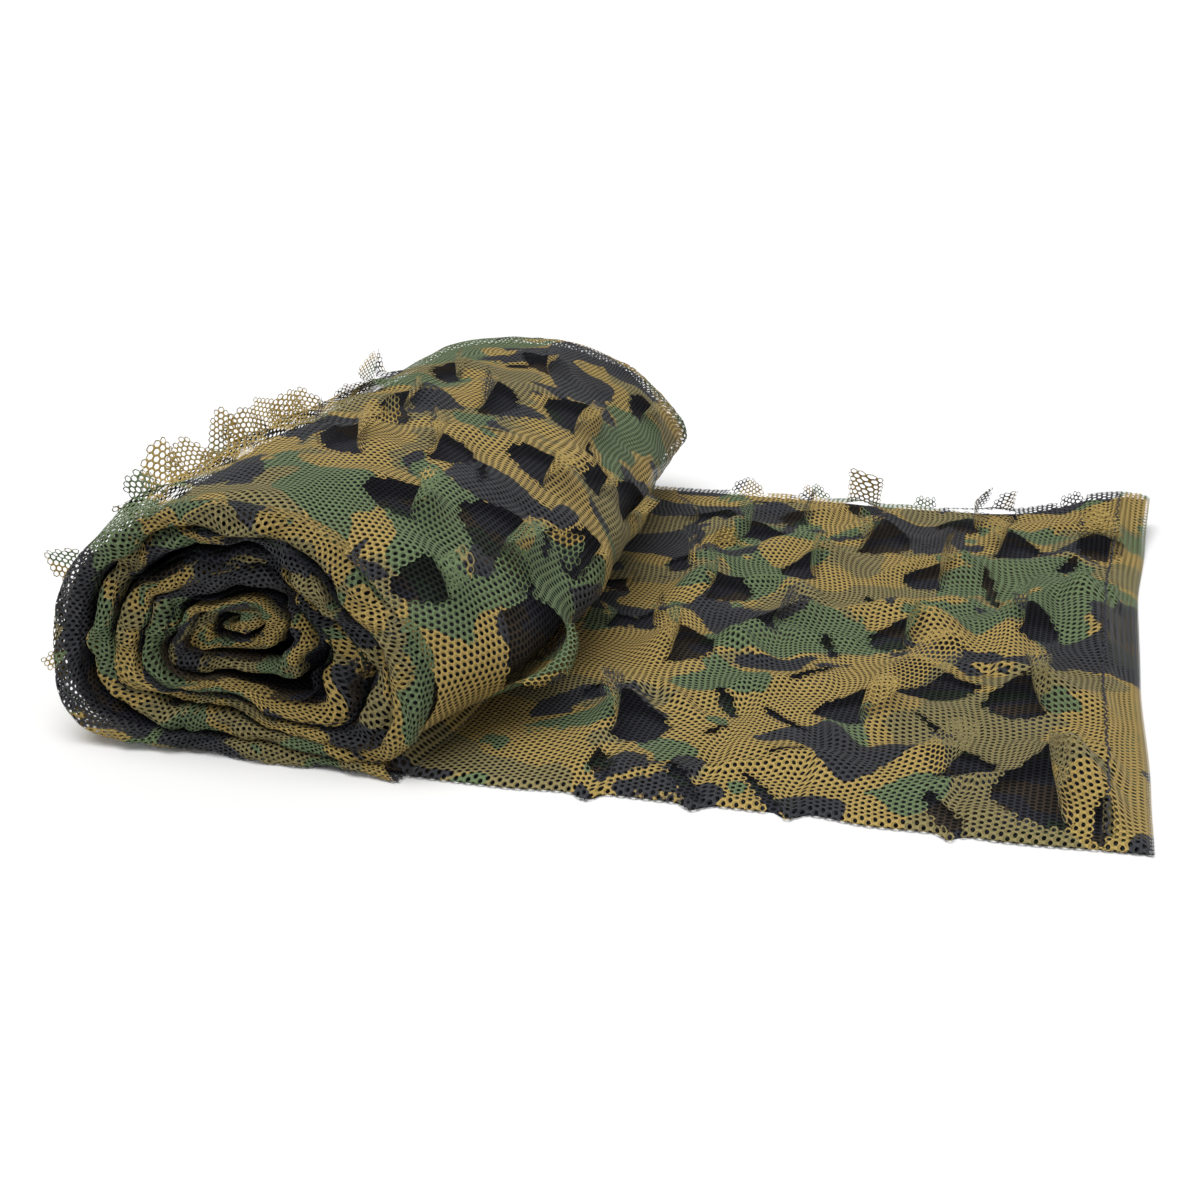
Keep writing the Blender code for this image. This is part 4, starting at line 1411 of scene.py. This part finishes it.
@dataclass(frozen=True)
class SewingThread:
    """Finish of the hem's stitches."""

    name: str = "hem_thread"
    colour: Colour = (0.03, 0.03, 0.045)
    roughness: float = 0.7
    relief: float = 0.2 * MM
    yarn: float = 2600.0

    def make(self) -> Material:
        """Makes the material.

        Returns:
            A twisted thread.
        """
        bench = Bench(self.name)
        place = bench.node("ShaderNodeTexCoord", {}, {}).outputs["Object"]
        fibres = bench.noise(place, self.yarn, 2.0, 0.7)
        return bench.finish({
            "Base Color": bench.scaled(self.colour, 0.75 + fibres * 0.5), "Roughness": self.roughness,
            "Normal": bench.bumped(fibres, 0.6, self.relief)})


@dataclass(frozen=True)
class PaleFloor:
    """Finish of the floor."""

    name: str = "pale_floor"
    colour: Colour = (0.86, 0.86, 0.86)
    roughness: float = 0.9

    def make(self) -> Material:
        """Makes the material.

        Returns:
            A plain matt white.
        """
        return Bench(self.name).finish({"Base Color": (*self.colour, 1.0), "Roughness": self.roughness})


# ---- Sub-assemblies ----

class Slot(Enum):
    """The record's material slots."""

    PRINTED = "printed_leaf_net"
    BACKING = "backing_net"
    ROLLED = "rolled_nets"


@dataclass
class Cloth:
    """A stretch of net. The classes built on this one give its form."""

    name: str
    solid: str
    slot: Slot
    held: str
    rests_on: str
    open_knit: bool = True

    def form(self) -> Tuple[Piece, float, float]:
        """The cloth, and its flat width and length in millimetres."""
        raise NotImplementedError

    def build(self, material: Material) -> Object:
        """Args:
            material: Its finish.

        Returns:
            The piece.
        """
        piece, width, length = self.form()
        made = piece.make(self.name, material)
        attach(made, "root")
        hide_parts(self.solid)
        width * MM
        length * MM
        piece.flat_area() if self.open_knit else None
        return made


@dataclass
class LooseEndLeafNet(Cloth):
    """The leaf-cut net on top of the loose end."""

    name: str = "loose_end_leaf_cut_net"
    solid: str = "leaf_net_loose_end"
    slot: Slot = Slot.PRINTED
    held: str = "laid"
    rests_on: str = "loose_end_backing_net"
    width: float = 346.0
    length: float = 506.0
    tucked: float = 13.0
    climb: float = 0.8
    pull_seed: int = 7

    def to_table(self, a: Array, b: Array) -> Arrays:
        """Grid places to x and y, with the grid's rim on the cloth's edges.

        Args:
            a: Places along the loose end, from the roll.
            b: Places across it, from the near edge.

        Returns:
            x and y.
        """
        a, b = pulled(a, b, (self.width, self.length), self.pull_seed)
        y = b * (NET_WIDTH / self.length)
        for _ in range(2):
            start = LOOSE_END.start_x(y) - self.tucked
            x = start + (LOOSE_END.end_x(y) - start) * a / self.width
            near = LOOSE_END.near_y(x)
            y = near + (LOOSE_END.far_y(x) - near) * b / self.length
        return x, y

    def surface(self, x: Array, y: Array) -> Array:
        """Middle of the cloth, at x and y. It goes up between the turns at the roll."""
        z = LOOSE_END.leaf_height(x, y) + self.climb * np.maximum(LOOSE_END.start_x(y) - x, 0.0)
        return np.stack([x, y, z], axis=-1)

    def form(self) -> Tuple[Piece, float, float]:
        """The net with its leaves and slits."""
        net = Lattice(self.width, self.length, self.surface, self.to_table, LOOSE_END_LEAVES, LOOSE_END_SLITS,
                      LOOSE_END_PRINT)
        return net.build(), self.width, self.length


@dataclass
class EndHem(Cloth):
    """The layer of the leaf-cut net that is turned under at the end and sewn down."""

    name: str = "end_hem"
    solid: str = "leaf_net_loose_end"
    slot: Slot = Slot.PRINTED
    held: str = "stretched"
    rests_on: str = "loose_end_backing_net"
    width: float = 20.0
    length: float = 502.0
    below: float = 1.1
    inset_end: float = 0.6
    inset_sides: float = 1.0
    lowest: float = 0.5
    pull_seed: int = 31

    def surface(self, u: Array, v: Array) -> Array:
        """Middle of the cloth, under the loose end's own.

        Args:
            u: Places in from the end edge.
            v: Places across the loose end, from the near edge.

        Returns:
            x, y and z of each place.
        """
        x = LOOSE_END.end_x(v) - self.inset_end - u
        low, high = LOOSE_END.near_y(x), LOOSE_END.far_y(x)
        y = low + self.inset_sides + v * ((high - low - 2 * self.inset_sides) / self.length)
        z = np.maximum(LOOSE_END.leaf_height(x, y) - self.below, self.lowest)
        return np.stack([x, y, z], axis=-1)

    def form(self) -> Tuple[Piece, float, float]:
        """The hem's strip of net."""
        size = (self.width, self.length)
        net = Lattice(*size, self.surface, lambda a, b: pulled(a, b, size, self.pull_seed))
        return net.build(), *size


@dataclass
class LooseEndBackingNet(Cloth):
    """The backing net under the loose end."""

    name: str = "loose_end_backing_net"
    solid: str = "backing_net_loose_end"
    slot: Slot = Slot.BACKING
    held: str = "laid"
    rests_on: str = "floor"
    open_knit: bool = False
    width: float = 327.0
    length: float = 497.0
    inset_end: float = 2.6
    inset_near: float = 2.6
    inset_far: float = 1.0
    steps_u: int = 64
    steps_v: int = 96
    least_lift: float = 0.05
    rim_height: float = 0.4
    rim_width: float = 6.0
    run: float = 333.0
    below_top: float = 0.5
    ripple: Ripple = Ripple(0.4, 13.0, 17.0)
    shift: Pair = (360.0, 20.0)
    laid_size: float = 760.0
    laid_side: Tuple[float, float, float] = (0.98, 0.965, 0.985)

    def form(self) -> Tuple[Piece, float, float]:
        """The sheet: its top, its underside and the narrow side between them."""
        shares = [np.linspace(0, 1, steps + 1) for steps in (self.steps_u, self.steps_v)]
        share_u, share_v = np.meshgrid(*shares, indexing="ij")
        y = NET_WIDTH * share_v
        start = LOOSE_END.start_x(y)
        x = start + (LOOSE_END.end_x(y) - self.inset_end - start) * share_u
        low = LOOSE_END.near_y(x) + self.inset_near
        y = low + (LOOSE_END.far_y(x) - self.inset_far - low) * share_v
        lift = LOOSE_END.corner_lift(x, y)
        lift = np.where(lift > self.least_lift, lift, 0.0)
        rim = np.minimum((1.0 - share_u) * self.run, share_v * NET_WIDTH)
        full = LOOSE_END.backing_thickness - self.below_top + self.ripple.read(PUCKER, x, y)
        top_lift = lift + self.rim_height + (full - self.rim_height) * ease(rim, 0.0, self.rim_width)
        count = x.size
        grid = np.arange(count).reshape(x.shape)
        top = halves((grid[:-1, :-1], grid[1:, :-1], grid[1:, 1:], grid[:-1, 1:]))
        ring = np.concatenate([grid[:-1, 0], grid[-1, :-1], grid[:0:-1, -1], grid[0, :0:-1]])
        after = np.roll(ring, -1)
        side = halves((ring + count, after + count, after, ring))
        faces = np.concatenate([top, top[:, ::-1] + count, side])
        flat = np.stack([x, y], -1).reshape(-1, 2) + np.array(self.shift)
        places = np.concatenate([np.stack([x, y, z], -1).reshape(-1, 3) for z in (top_lift, lift)])
        laid = flat / self.laid_size
        # the side is laid out as a thin strip above the top and the underside
        long, bottom, height = self.laid_side
        step, wide = np.arange(len(ring)) / len(ring) * long + 0.01, long / len(ring)
        strip = halves([np.stack([step + there * wide, 0 * step + level], -1)
                        for there, level in ((0, bottom), (1, bottom), (1, height), (0, height))], 2)
        corners = np.concatenate([laid[top].reshape(-1, 2),
                                  (laid[top[:, ::-1]] + np.array([0.5, 0.0])).reshape(-1, 2), strip])
        dyes = BACKING_PRINT.weights(*flat.T)
        piece = Piece(places, faces, np.tile(flat, (2, 1)), corners, np.tile(dyes, (2, 1)), by_corner=True)
        return piece, self.width, self.length


@dataclass
class RollLeafNet(Cloth):
    """The leaf-cut net on the roll's outer turn."""

    name: str = "roll_leaf_cut_net"
    solid: str = "leaf_net_roll"
    slot: Slot = Slot.PRINTED
    held: str = "draped"
    rests_on: str = "roll_inner_turns"
    near: float = -5.0
    far: float = 494.0
    lengths: Arrays = field(
        default_factory=lambda: ROLL.lengths(ROLL.skin_start, ROLL.skin_end, 0.5, 200))
    puckers: Tuple[Ripple, ...] = (Ripple(2.0, 19.0, 27.0, 700.0), Ripple(0.5, 8.0, 13.0, 900.0))
    puffed: float = 0.7
    uphill: Pair = (-0.8, 0.6)
    arch: float = 4.5
    flat_before: float = 30.0
    flat_beside: float = 12.0
    lies_flat_at: float = 375.0
    lowest: float = 0.6
    pull_seed: int = 9

    def surface(self, s: Array, y: Array) -> Array:
        """Middle of the cloth.

        Args:
            s: Lengths along the turn.
            y: Distances from the near edge.

        Returns:
            x, y and z of each place.
        """
        tau = np.interp(s, *self.lengths)
        place = ROLL.point(tau, y / NET_WIDTH)
        outward = unit(place - ROLL.point(tau + 1.0, y / NET_WIDTH))
        pucker = sum(ripple.read(PUCKER, s, y) for ripple in self.puckers)
        crests = np.max([leaf.crest_lift(s, y) for leaf in ROLL_LEAVES], axis=0)
        arches = np.maximum(Leaf.arches(ROLL_LEAVES, s, y, self.uphill, self.arch), crests)
        free = ease(s, 0.0, self.flat_before) * ease(self.lies_flat_at - s, 0.0, self.flat_before)
        free = free * ease(np.minimum(y - self.near, self.far - y), 0.0, self.flat_beside)
        place = place + outward * ((self.puffed + pucker + arches) * free)[..., None]
        return np.stack([place[..., 0], y, np.maximum(place[..., 1], self.lowest)], axis=-1)

    def form(self) -> Tuple[Piece, float, float]:
        """The net with its leaves and slits."""
        size = (float(self.lengths[0][-1]), self.far - self.near)

        def on_turn(a: Array, b: Array) -> Arrays:
            """Grid places to the length along the turn and y."""
            a, b = pulled(a, b, size, self.pull_seed)
            return a, b + self.near

        return Lattice(*size, self.surface, on_turn, ROLL_LEAVES, ROLL_SLITS, ROLL_PRINT).build(), *size


@dataclass
class WoundTurns(Cloth):
    """The turns inside the roll: dark cloth that shows through cells, windows and between the folds."""

    name: str = "roll_inner_turns"
    solid: str = "rolled_net"
    slot: Slot = Slot.ROLLED
    held: str = "folded"
    rests_on: str = "floor"
    open_knit: bool = False
    length: float = 494.0
    rings_per_turn: int = 48
    outer_share: float = 0.10
    inner_share: float = 0.80
    drawn_in: float = 5.0
    room: float = 3.0
    steps: int = 16
    bend_steps: int = 6
    # what the strip and its two closed ends take of the bake's square
    laid_size: Pair = (0.98, 0.92)
    laid_start: Pair = (0.01, 0.005)
    laid_ends: Pair = (0.94, 0.965)
    laid_end_size: Pair = (1 / 570.0, 0.02)

    def columns(self, near: Array, far: Array) -> List[Tuple[Array, float]]:
        """Rows of points round the folded net: out to the far fold, round it, back and round the near one.

        Args:
            near: Near end of each ring.
            far: Far end of each ring.

        Returns:
            y on every ring, and the share of the turn's thickness, for each row of points.
        """
        depth = ROLL.fold_depth
        low, high = near + depth + self.drawn_in, far - depth - self.drawn_in
        span = self.inner_share - self.outer_share
        bend = [math.pi * step / self.bend_steps for step in range(1, self.bend_steps)]
        found = []
        for first, last, share, way in ((low, high, self.outer_share, 1), (high, low, self.inner_share, -1)):
            found += [(first + (last - first) * step / self.steps, share) for step in range(self.steps + 1)]
            found += [(last + way * depth * math.sin(turn), share + way * span * (1 - math.cos(turn)) / 2)
                      for turn in bend]
        return found

    def form(self) -> Tuple[Piece, float, float]:
        """The wound strip, closed at its outer and inner end."""
        rings = int(ROLL.turns_made * self.rings_per_turn) + 1
        tau = np.arange(rings) / self.rings_per_turn
        columns = self.columns(*ROLL.ends(tau))
        count = len(columns)
        lengths, turns = ROLL.lengths(0.0, ROLL.turns_made, 0.5, 400)
        along = np.interp(tau, turns, lengths)
        places = np.stack([ROLL.layer(tau, y, np.full(tau.shape, share), self.room)
                           for y, share in columns], axis=1)
        travel = np.linalg.norm(places[:, 1:] - places[:, :-1], axis=2)
        across = np.concatenate([np.zeros((rings, 1)), np.cumsum(travel, axis=1)], axis=1)
        flat = np.stack([np.broadcast_to(along[:, None], across.shape), across], axis=-1).reshape(-1, 2)
        grid = np.arange(rings * count).reshape(rings, count)
        after = np.roll(grid, -1, axis=1)
        faces = [halves((grid[:-1], after[:-1], after[1:], grid[1:]))]
        closing = travel.sum(axis=1) + np.linalg.norm(places[:, 0] - places[:, -1], axis=1)
        u = np.broadcast_to(along[:, None], (rings, count + 1)) / along[-1]
        v = np.concatenate([across, closing[:, None]], axis=1) / closing.max()
        spread = np.stack([u, v], -1) * np.array(self.laid_size) + np.array(self.laid_start)
        laid = [halves((spread[:-1, :-1], spread[:-1, 1:], spread[1:, 1:], spread[1:, :-1]), 2)]
        # both ends of the strip are laid out above it
        flat_ends = np.array([(y[0] + 30.0, share) for y, share in columns]) * np.array(self.laid_end_size)
        for ring, turned, height in zip((grid[0], grid[-1]), (True, False), self.laid_ends):
            middle = range(len(ring) // 2 - 1)
            fan = np.array([[ring[k], ring[k + 1], ring[-k - 1]] for k in middle]
                           + [[ring[k + 1], ring[-k - 2], ring[-k - 1]] for k in middle])
            faces.append(fan[:, ::-1] if turned else fan)
            laid.append((flat_ends[faces[-1] % count] + np.array([0.0, height])).reshape(-1, 2))
        piece = Piece(places.reshape(-1, 3), np.concatenate(faces), flat, np.concatenate(laid),
                      BACKING_PRINT.weights(*flat.T), by_corner=True, turn_out=True)
        return piece, float(lengths[-1]), self.length


class End(Enum):
    """The two ends of the roll."""

    NEAR = "near"
    FAR = "far"


@dataclass
class EndSpiral(Cloth):
    """Cloth that shows as a spiral at one end of the roll."""

    slot: Slot = Slot.ROLLED
    solid: str = "rolled_net"
    held: str = "folded"
    rests_on: str = "roll_inner_turns"
    end: End = End.NEAR
    across: float = 13.0
    turns: float = 6.45
    pattern: Print = BACKING_PRINT
    cell: Pair = (2.6, 3.0)
    starts: Pair = (0.0, 0.0)
    rows: int = 6
    row_gap: float = 4.0
    row_margins: Pair = (1.04, 0.014)
    lengths: Arrays = field(init=False)

    def __post_init__(self) -> None:
        """Names the piece for its end and measures the spiral there."""
        self.name = f"roll_{self.end.value}_{self.name}"
        self.lengths = ROLL.lengths(0.0, self.turns, 0.0 if self.end is End.NEAR else 1.0, 640)

    @property
    def start(self) -> float:
        """Where this end reads the pattern of crumples."""
        return self.starts[0 if self.end is End.NEAR else 1]

    def from_end(self, tau: Array, inward: Array) -> Array:
        """y at a distance in from this end of the roll."""
        near, far = ROLL.ends(tau)
        return near + inward if self.end is End.NEAR else far - inward

    def surface(self, s: Array, w: Array) -> Array:
        """Places of the cloth, from lengths along the spiral and across the cloth."""
        raise NotImplementedError

    def in_rows(self, flat: Array, total: float) -> Array:
        """Lays a long strip out in rows, each on its own stretch of the bake.

        Args:
            flat: Flat places of each face's corners.
            total: The strip's length.

        Returns:
            Places from 0 to 1, corner by corner. A face is laid out in one row as a whole.
        """
        run, step = total / self.rows, self.across + self.row_gap
        longer, before = self.row_margins
        size = max(run * longer, self.rows * step)
        row = np.clip(np.floor(flat[..., 0].mean(axis=1, keepdims=True) / run), 0, self.rows - 1)
        laid = [(flat[..., 0] - row * run) / size + before, (flat[..., 1] + row * step) / size]
        return np.stack(laid, -1).reshape(-1, 2)

    def form(self) -> Tuple[Piece, float, float]:
        """The spiral strip, laid out in rows."""
        total = float(self.lengths[0][-1])
        piece = Lattice(total, self.across, self.surface, pattern=self.pattern, cell=self.cell).build()
        piece.laid_out, piece.by_corner = self.in_rows(piece.flat[piece.faces], total), True
        return piece, total, self.across


@dataclass
class EndFolds(EndSpiral):
    """The folds of the leaf-cut net at one end of the roll."""

    name: str = "leaf_cut_folds"
    slot: Slot = Slot.PRINTED
    starts: Pair = (0.0, 5000.0)
    pattern: Print = FOLD_PRINT
    across: float = 32.0
    flat_before: float = 7.0
    arc: float = 19.0
    thickness: float = 0.96
    squareness: float = 0.46
    wave: Ripple = Ripple(1.0, 34.0)
    wave_depth: float = 0.35
    wave_in: float = 4.0
    crumple_in: float = 2.5
    crumples: Tuple[Ripple, Ripple] = (Ripple(1.0, 12.0, 10.0), Ripple(0.6, 6.0, 6.0, 900.0))
    widening: Ripple = Ripple(0.26, 21.0, shift_u=2000.0)
    rocking: Ripple = Ripple(0.10, 9.0, 8.0, 4000.0)
    stray: Ripple = Ripple(0.50, 38.0, shift_u=6000.0)
    stray_turns: Pair = (1.0, 1.4)
    lean: float = 1.4
    # where the leaf-cut net on the outer turn sets in and ends, as turns of the spiral
    skin_from: Pair = (ROLL.skin_start - 0.02, ROLL.skin_start + 0.05)
    skin_to: Pair = (0.94, 1.0)

    def surface(self, s: Array, w: Array) -> Array:
        """The folded cloth.

        Args:
            s: Lengths along the spiral.
            w: Lengths across the fold, from its outer face round to its inner one.

        Returns:
            x, y and z of each place.
        """
        tau = np.interp(s, *self.lengths)
        s = s + self.start
        wave = self.wave.read(PUCKER, s)
        coarse, fine = self.crumples
        crumple = coarse.read(PUCKER, s + self.lean * w, w) + fine.read(PUCKER, s - w, w)
        turn = np.clip((w - self.flat_before) / self.arc, 0.0, 1.0) * math.pi
        share = (self.thickness + self.widening.read(PUCKER, s)) * (1.0 - np.cos(turn)) / 2.0
        share = share + self.rocking.read(PUCKER, s + w, w) * np.sin(turn)
        before = np.maximum(self.flat_before - w, 0.0)
        after = np.maximum(w - self.flat_before - self.arc, 0.0)
        depth = ROLL.fold_depth * (1.0 + self.wave_depth * wave)
        bulge = np.sin(turn) ** self.squareness
        inward = depth * (1.0 - bulge) + before + after + self.wave_in * wave
        inward = inward + self.crumple_in * crumple * bulge
        skin = ease(tau, *self.skin_from) * (1.0 - ease(tau, *self.skin_to))
        stray = self.stray.read(PUCKER, s) * ease(tau, *self.stray_turns)
        return ROLL.layer(tau, self.from_end(tau, inward), share + stray, ROLL.skin_room * (1.0 - skin))


@dataclass
class BackingEdges(EndSpiral):
    """The backing's single layer between the folds at one end of the roll."""

    name: str = "backing_edges"
    starts: Pair = (3000.0, 8000.0)
    inset: float = 1.6
    wave: Ripple = Ripple(2.4, 22.0)
    sway: Ripple = Ripple(0.08, 14.0, 30.0, 700.0)

    def surface(self, s: Array, w: Array) -> Array:
        """The single layer.

        Args:
            s: Lengths along the spiral.
            w: Lengths in from the layer's edge.

        Returns:
            x, y and z of each place.
        """
        tau = np.interp(s, *self.lengths)
        s = s + self.start
        y = self.from_end(tau, w + self.inset + self.wave.read(PUCKER, s))
        return ROLL.layer(tau, y, 1.0 + self.sway.read(PUCKER, s, w))


@dataclass
class HemStitches:
    """The line of stitches along the end hem."""

    inset: float = 18.5
    margin: float = 8.0
    pitch: float = 4.2
    length: float = 3.3
    slant: float = 1.4
    radius: float = 0.5
    swell: Tuple[float, ...] = (0.45, 0.9, 1.0, 0.9, 0.45)
    stand: float = 0.55
    sag: float = 1.6
    sides: int = 5
    shift: Pair = (360.0, 20.0)
    laid_corners: Rows = ((0.1, 0.1), (0.9, 0.1), (0.1, 0.9))

    def stitch(self, number: int) -> Array:
        """Points of one stitch.

        Args:
            number: The stitch's place in the line.

        Returns:
            x, y and z of the points, ring by ring.
        """
        angles = 2 * math.pi * np.arange(self.sides) / self.sides
        steps = np.linspace(-0.5, 0.5, len(self.swell))
        y = self.margin + number * self.pitch + steps * self.length
        x = LOOSE_END.end_x(y) - self.inset + steps * self.slant * (1 if number % 2 else -1)
        z = LOOSE_END.leaf_height(x, y) + self.stand - self.sag * steps ** 2
        thick = self.radius * np.array(self.swell)[:, None]
        return np.stack([x[:, None] + thick * np.cos(angles), np.repeat(y[:, None], self.sides, axis=1),
                         z[:, None] + thick * np.sin(angles)], -1).reshape(-1, 3)

    def faces(self) -> Array:
        """The faces of one stitch, by its points' numbers."""
        sides, rings = self.sides, len(self.swell)
        found = []
        for row in range(rings - 1):
            for side in range(sides):
                a, b = row * sides + side, row * sides + (side + 1) % sides
                found += [[a, a + sides, b], [b, a + sides, b + sides]]
        last = (rings - 1) * sides
        found += [[0, k, k + 1] for k in range(1, sides - 1)]
        found += [[last + k + 1, last + k, last] for k in range(1, sides - 1)]
        return np.array(found)

    def build(self, material: Material) -> Object:
        """Args:
            material: Their finish.

        Returns:
            The piece.
        """
        count = int((NET_WIDTH - 2 * self.margin) / self.pitch)
        points = np.concatenate([self.stitch(number) for number in range(count)])
        each = self.sides * len(self.swell)
        faces = np.concatenate([self.faces() + number * each for number in range(count)])
        # each face is laid out in a square of its own
        squares = math.ceil(math.sqrt(len(faces)))
        corner = np.array(self.laid_corners) / squares
        index = np.arange(len(faces))[:, None]
        laid = np.stack([index % squares, index // squares], -1) / squares + corner
        piece = Piece(points, faces, points[:, :2] + np.array(self.shift), laid.reshape(-1, 2),
                      np.zeros((len(points), 3)), by_corner=True)
        made = piece.make("end_hem_stitches", material)
        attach(made, "root")
        return made


# ---- Studio ----

@dataclass
class Studio:
    """The pale floor, the soft lights and the camera."""

    camera_place: Tuple[float, float, float] = (0.2242, -0.9178, 0.3132)
    camera_pitch: float = 72.0
    camera_turn: float = 15.9
    focal_length: float = 53.7
    sensor: float = 36.0
    # name, pitch from overhead, turn, spread, strength
    lights: Tuple[Tuple[object, ...], ...] = (("overhead", 16.0, -20.0, 55.0, 2.8),
                                              ("front_fill", 58.0, 24.0, 70.0, 0.18))
    air_strength: float = 0.36
    floor_radius: float = 3.0
    floor_drop: float = 0.0002
    sweep: Rows = ((1.4, 0.05), (1.4, 0.2), (1.4, 0.55), (1.3, 1.2))  # wider and higher by these

    def floor(self) -> Object:
        """Adds the floor.

        Returns:
            The floor.
        """
        bpy.ops.object.select_all(action="DESELECT")
        bpy.ops.mesh.primitive_circle_add(vertices=96, radius=self.floor_radius, fill_type="NGON")
        made = bpy.context.object
        made.name = "floor"
        made.location.z = -self.floor_drop
        bpy.ops.object.mode_set(mode="EDIT")
        bpy.ops.mesh.select_all(action="SELECT")
        bpy.ops.mesh.region_to_loop()
        for radius, height in self.sweep:
            bpy.ops.mesh.extrude_edges_move(TRANSFORM_OT_translate={"value": (0.0, 0.0, height)})
            bpy.ops.transform.resize(value=(radius, radius, 1.0), center_override=(0.0, 0.0, 0.0))
        bpy.ops.object.mode_set(mode="OBJECT")
        made.data.shade_smooth()
        made.data.materials.append(PaleFloor().make())
        return made

    def light(self, name: str, pitch: float, turn: float, spread: float, strength: float) -> None:
        """Adds a broad soft light from one direction.

        Args:
            name: The light's name.
            pitch: Angle from overhead towards the viewer, in degrees.
            turn: Turn about the vertical, in degrees.
            spread: Breadth of the light as seen from the net, in degrees.
            strength: Its strength.
        """
        data = bpy.data.lights.new(name, "SUN")
        data.angle = math.radians(spread)
        data.energy = strength
        made = bpy.data.objects.new(name, data)
        made.rotation_euler = (math.radians(pitch), 0.0, math.radians(turn))
        bpy.context.scene.collection.objects.link(made)

    def build(self) -> None:
        """Sets up the whole studio."""
        self.floor()
        for name, *numbers in self.lights:
            self.light(name, *numbers)
        world = bpy.data.worlds.new("studio_air")
        world.use_nodes = True
        air = world.node_tree.nodes["Background"].inputs
        air["Color"].default_value = (1.0, 1.0, 1.0, 1.0)
        air["Strength"].default_value = self.air_strength
        bpy.context.scene.world = world
        bpy.context.scene.view_settings.view_transform = "Standard"
        data = bpy.data.cameras.new("camera")
        data.sensor_width = self.sensor
        data.lens = self.focal_length
        data.clip_start = 0.01
        made = bpy.data.objects.new("camera", data)
        made.location = self.camera_place
        made.rotation_euler = (math.radians(self.camera_pitch), 0.0, math.radians(self.camera_turn))
        bpy.context.scene.collection.objects.link(made)
        bpy.context.scene.camera = made


def main() -> None:
    """Builds the net's pieces and the studio round them."""
    logging.basicConfig(level=logging.INFO, format="%(message)s")
    printed, backing = PrintedNet().make(), DarkNet().make()
    edges = DarkNet(name="backing_net_edges", paints_cell_shadow=False).make()
    # darker copies of the printed finish: painted shade for the folds at the roll's ends and for the hem's
    # layer turned under
    folds = PrintedNet(name="printed_net_folds_painted_shade", depth=0.82).make()
    underside_painted_shade = PrintedNet(name="printed_net_underside_painted_shade", depth=0.45).make()
    Studio().build()
    parts = [(LooseEndBackingNet(), backing), (LooseEndLeafNet(), printed), (EndHem(), underside_painted_shade),
             (WoundTurns(), backing), (RollLeafNet(), printed), (HemStitches(), SewingThread().make())]
    for end in End:
        parts += [(EndFolds(end=end), folds), (BackingEdges(end=end), edges)]
    for part, finish in parts:
        made = part.build(finish)
        LOG.info("%s: %d triangles", made.name, len(made.data.polygons))


if __name__ == "__main__":
    main()
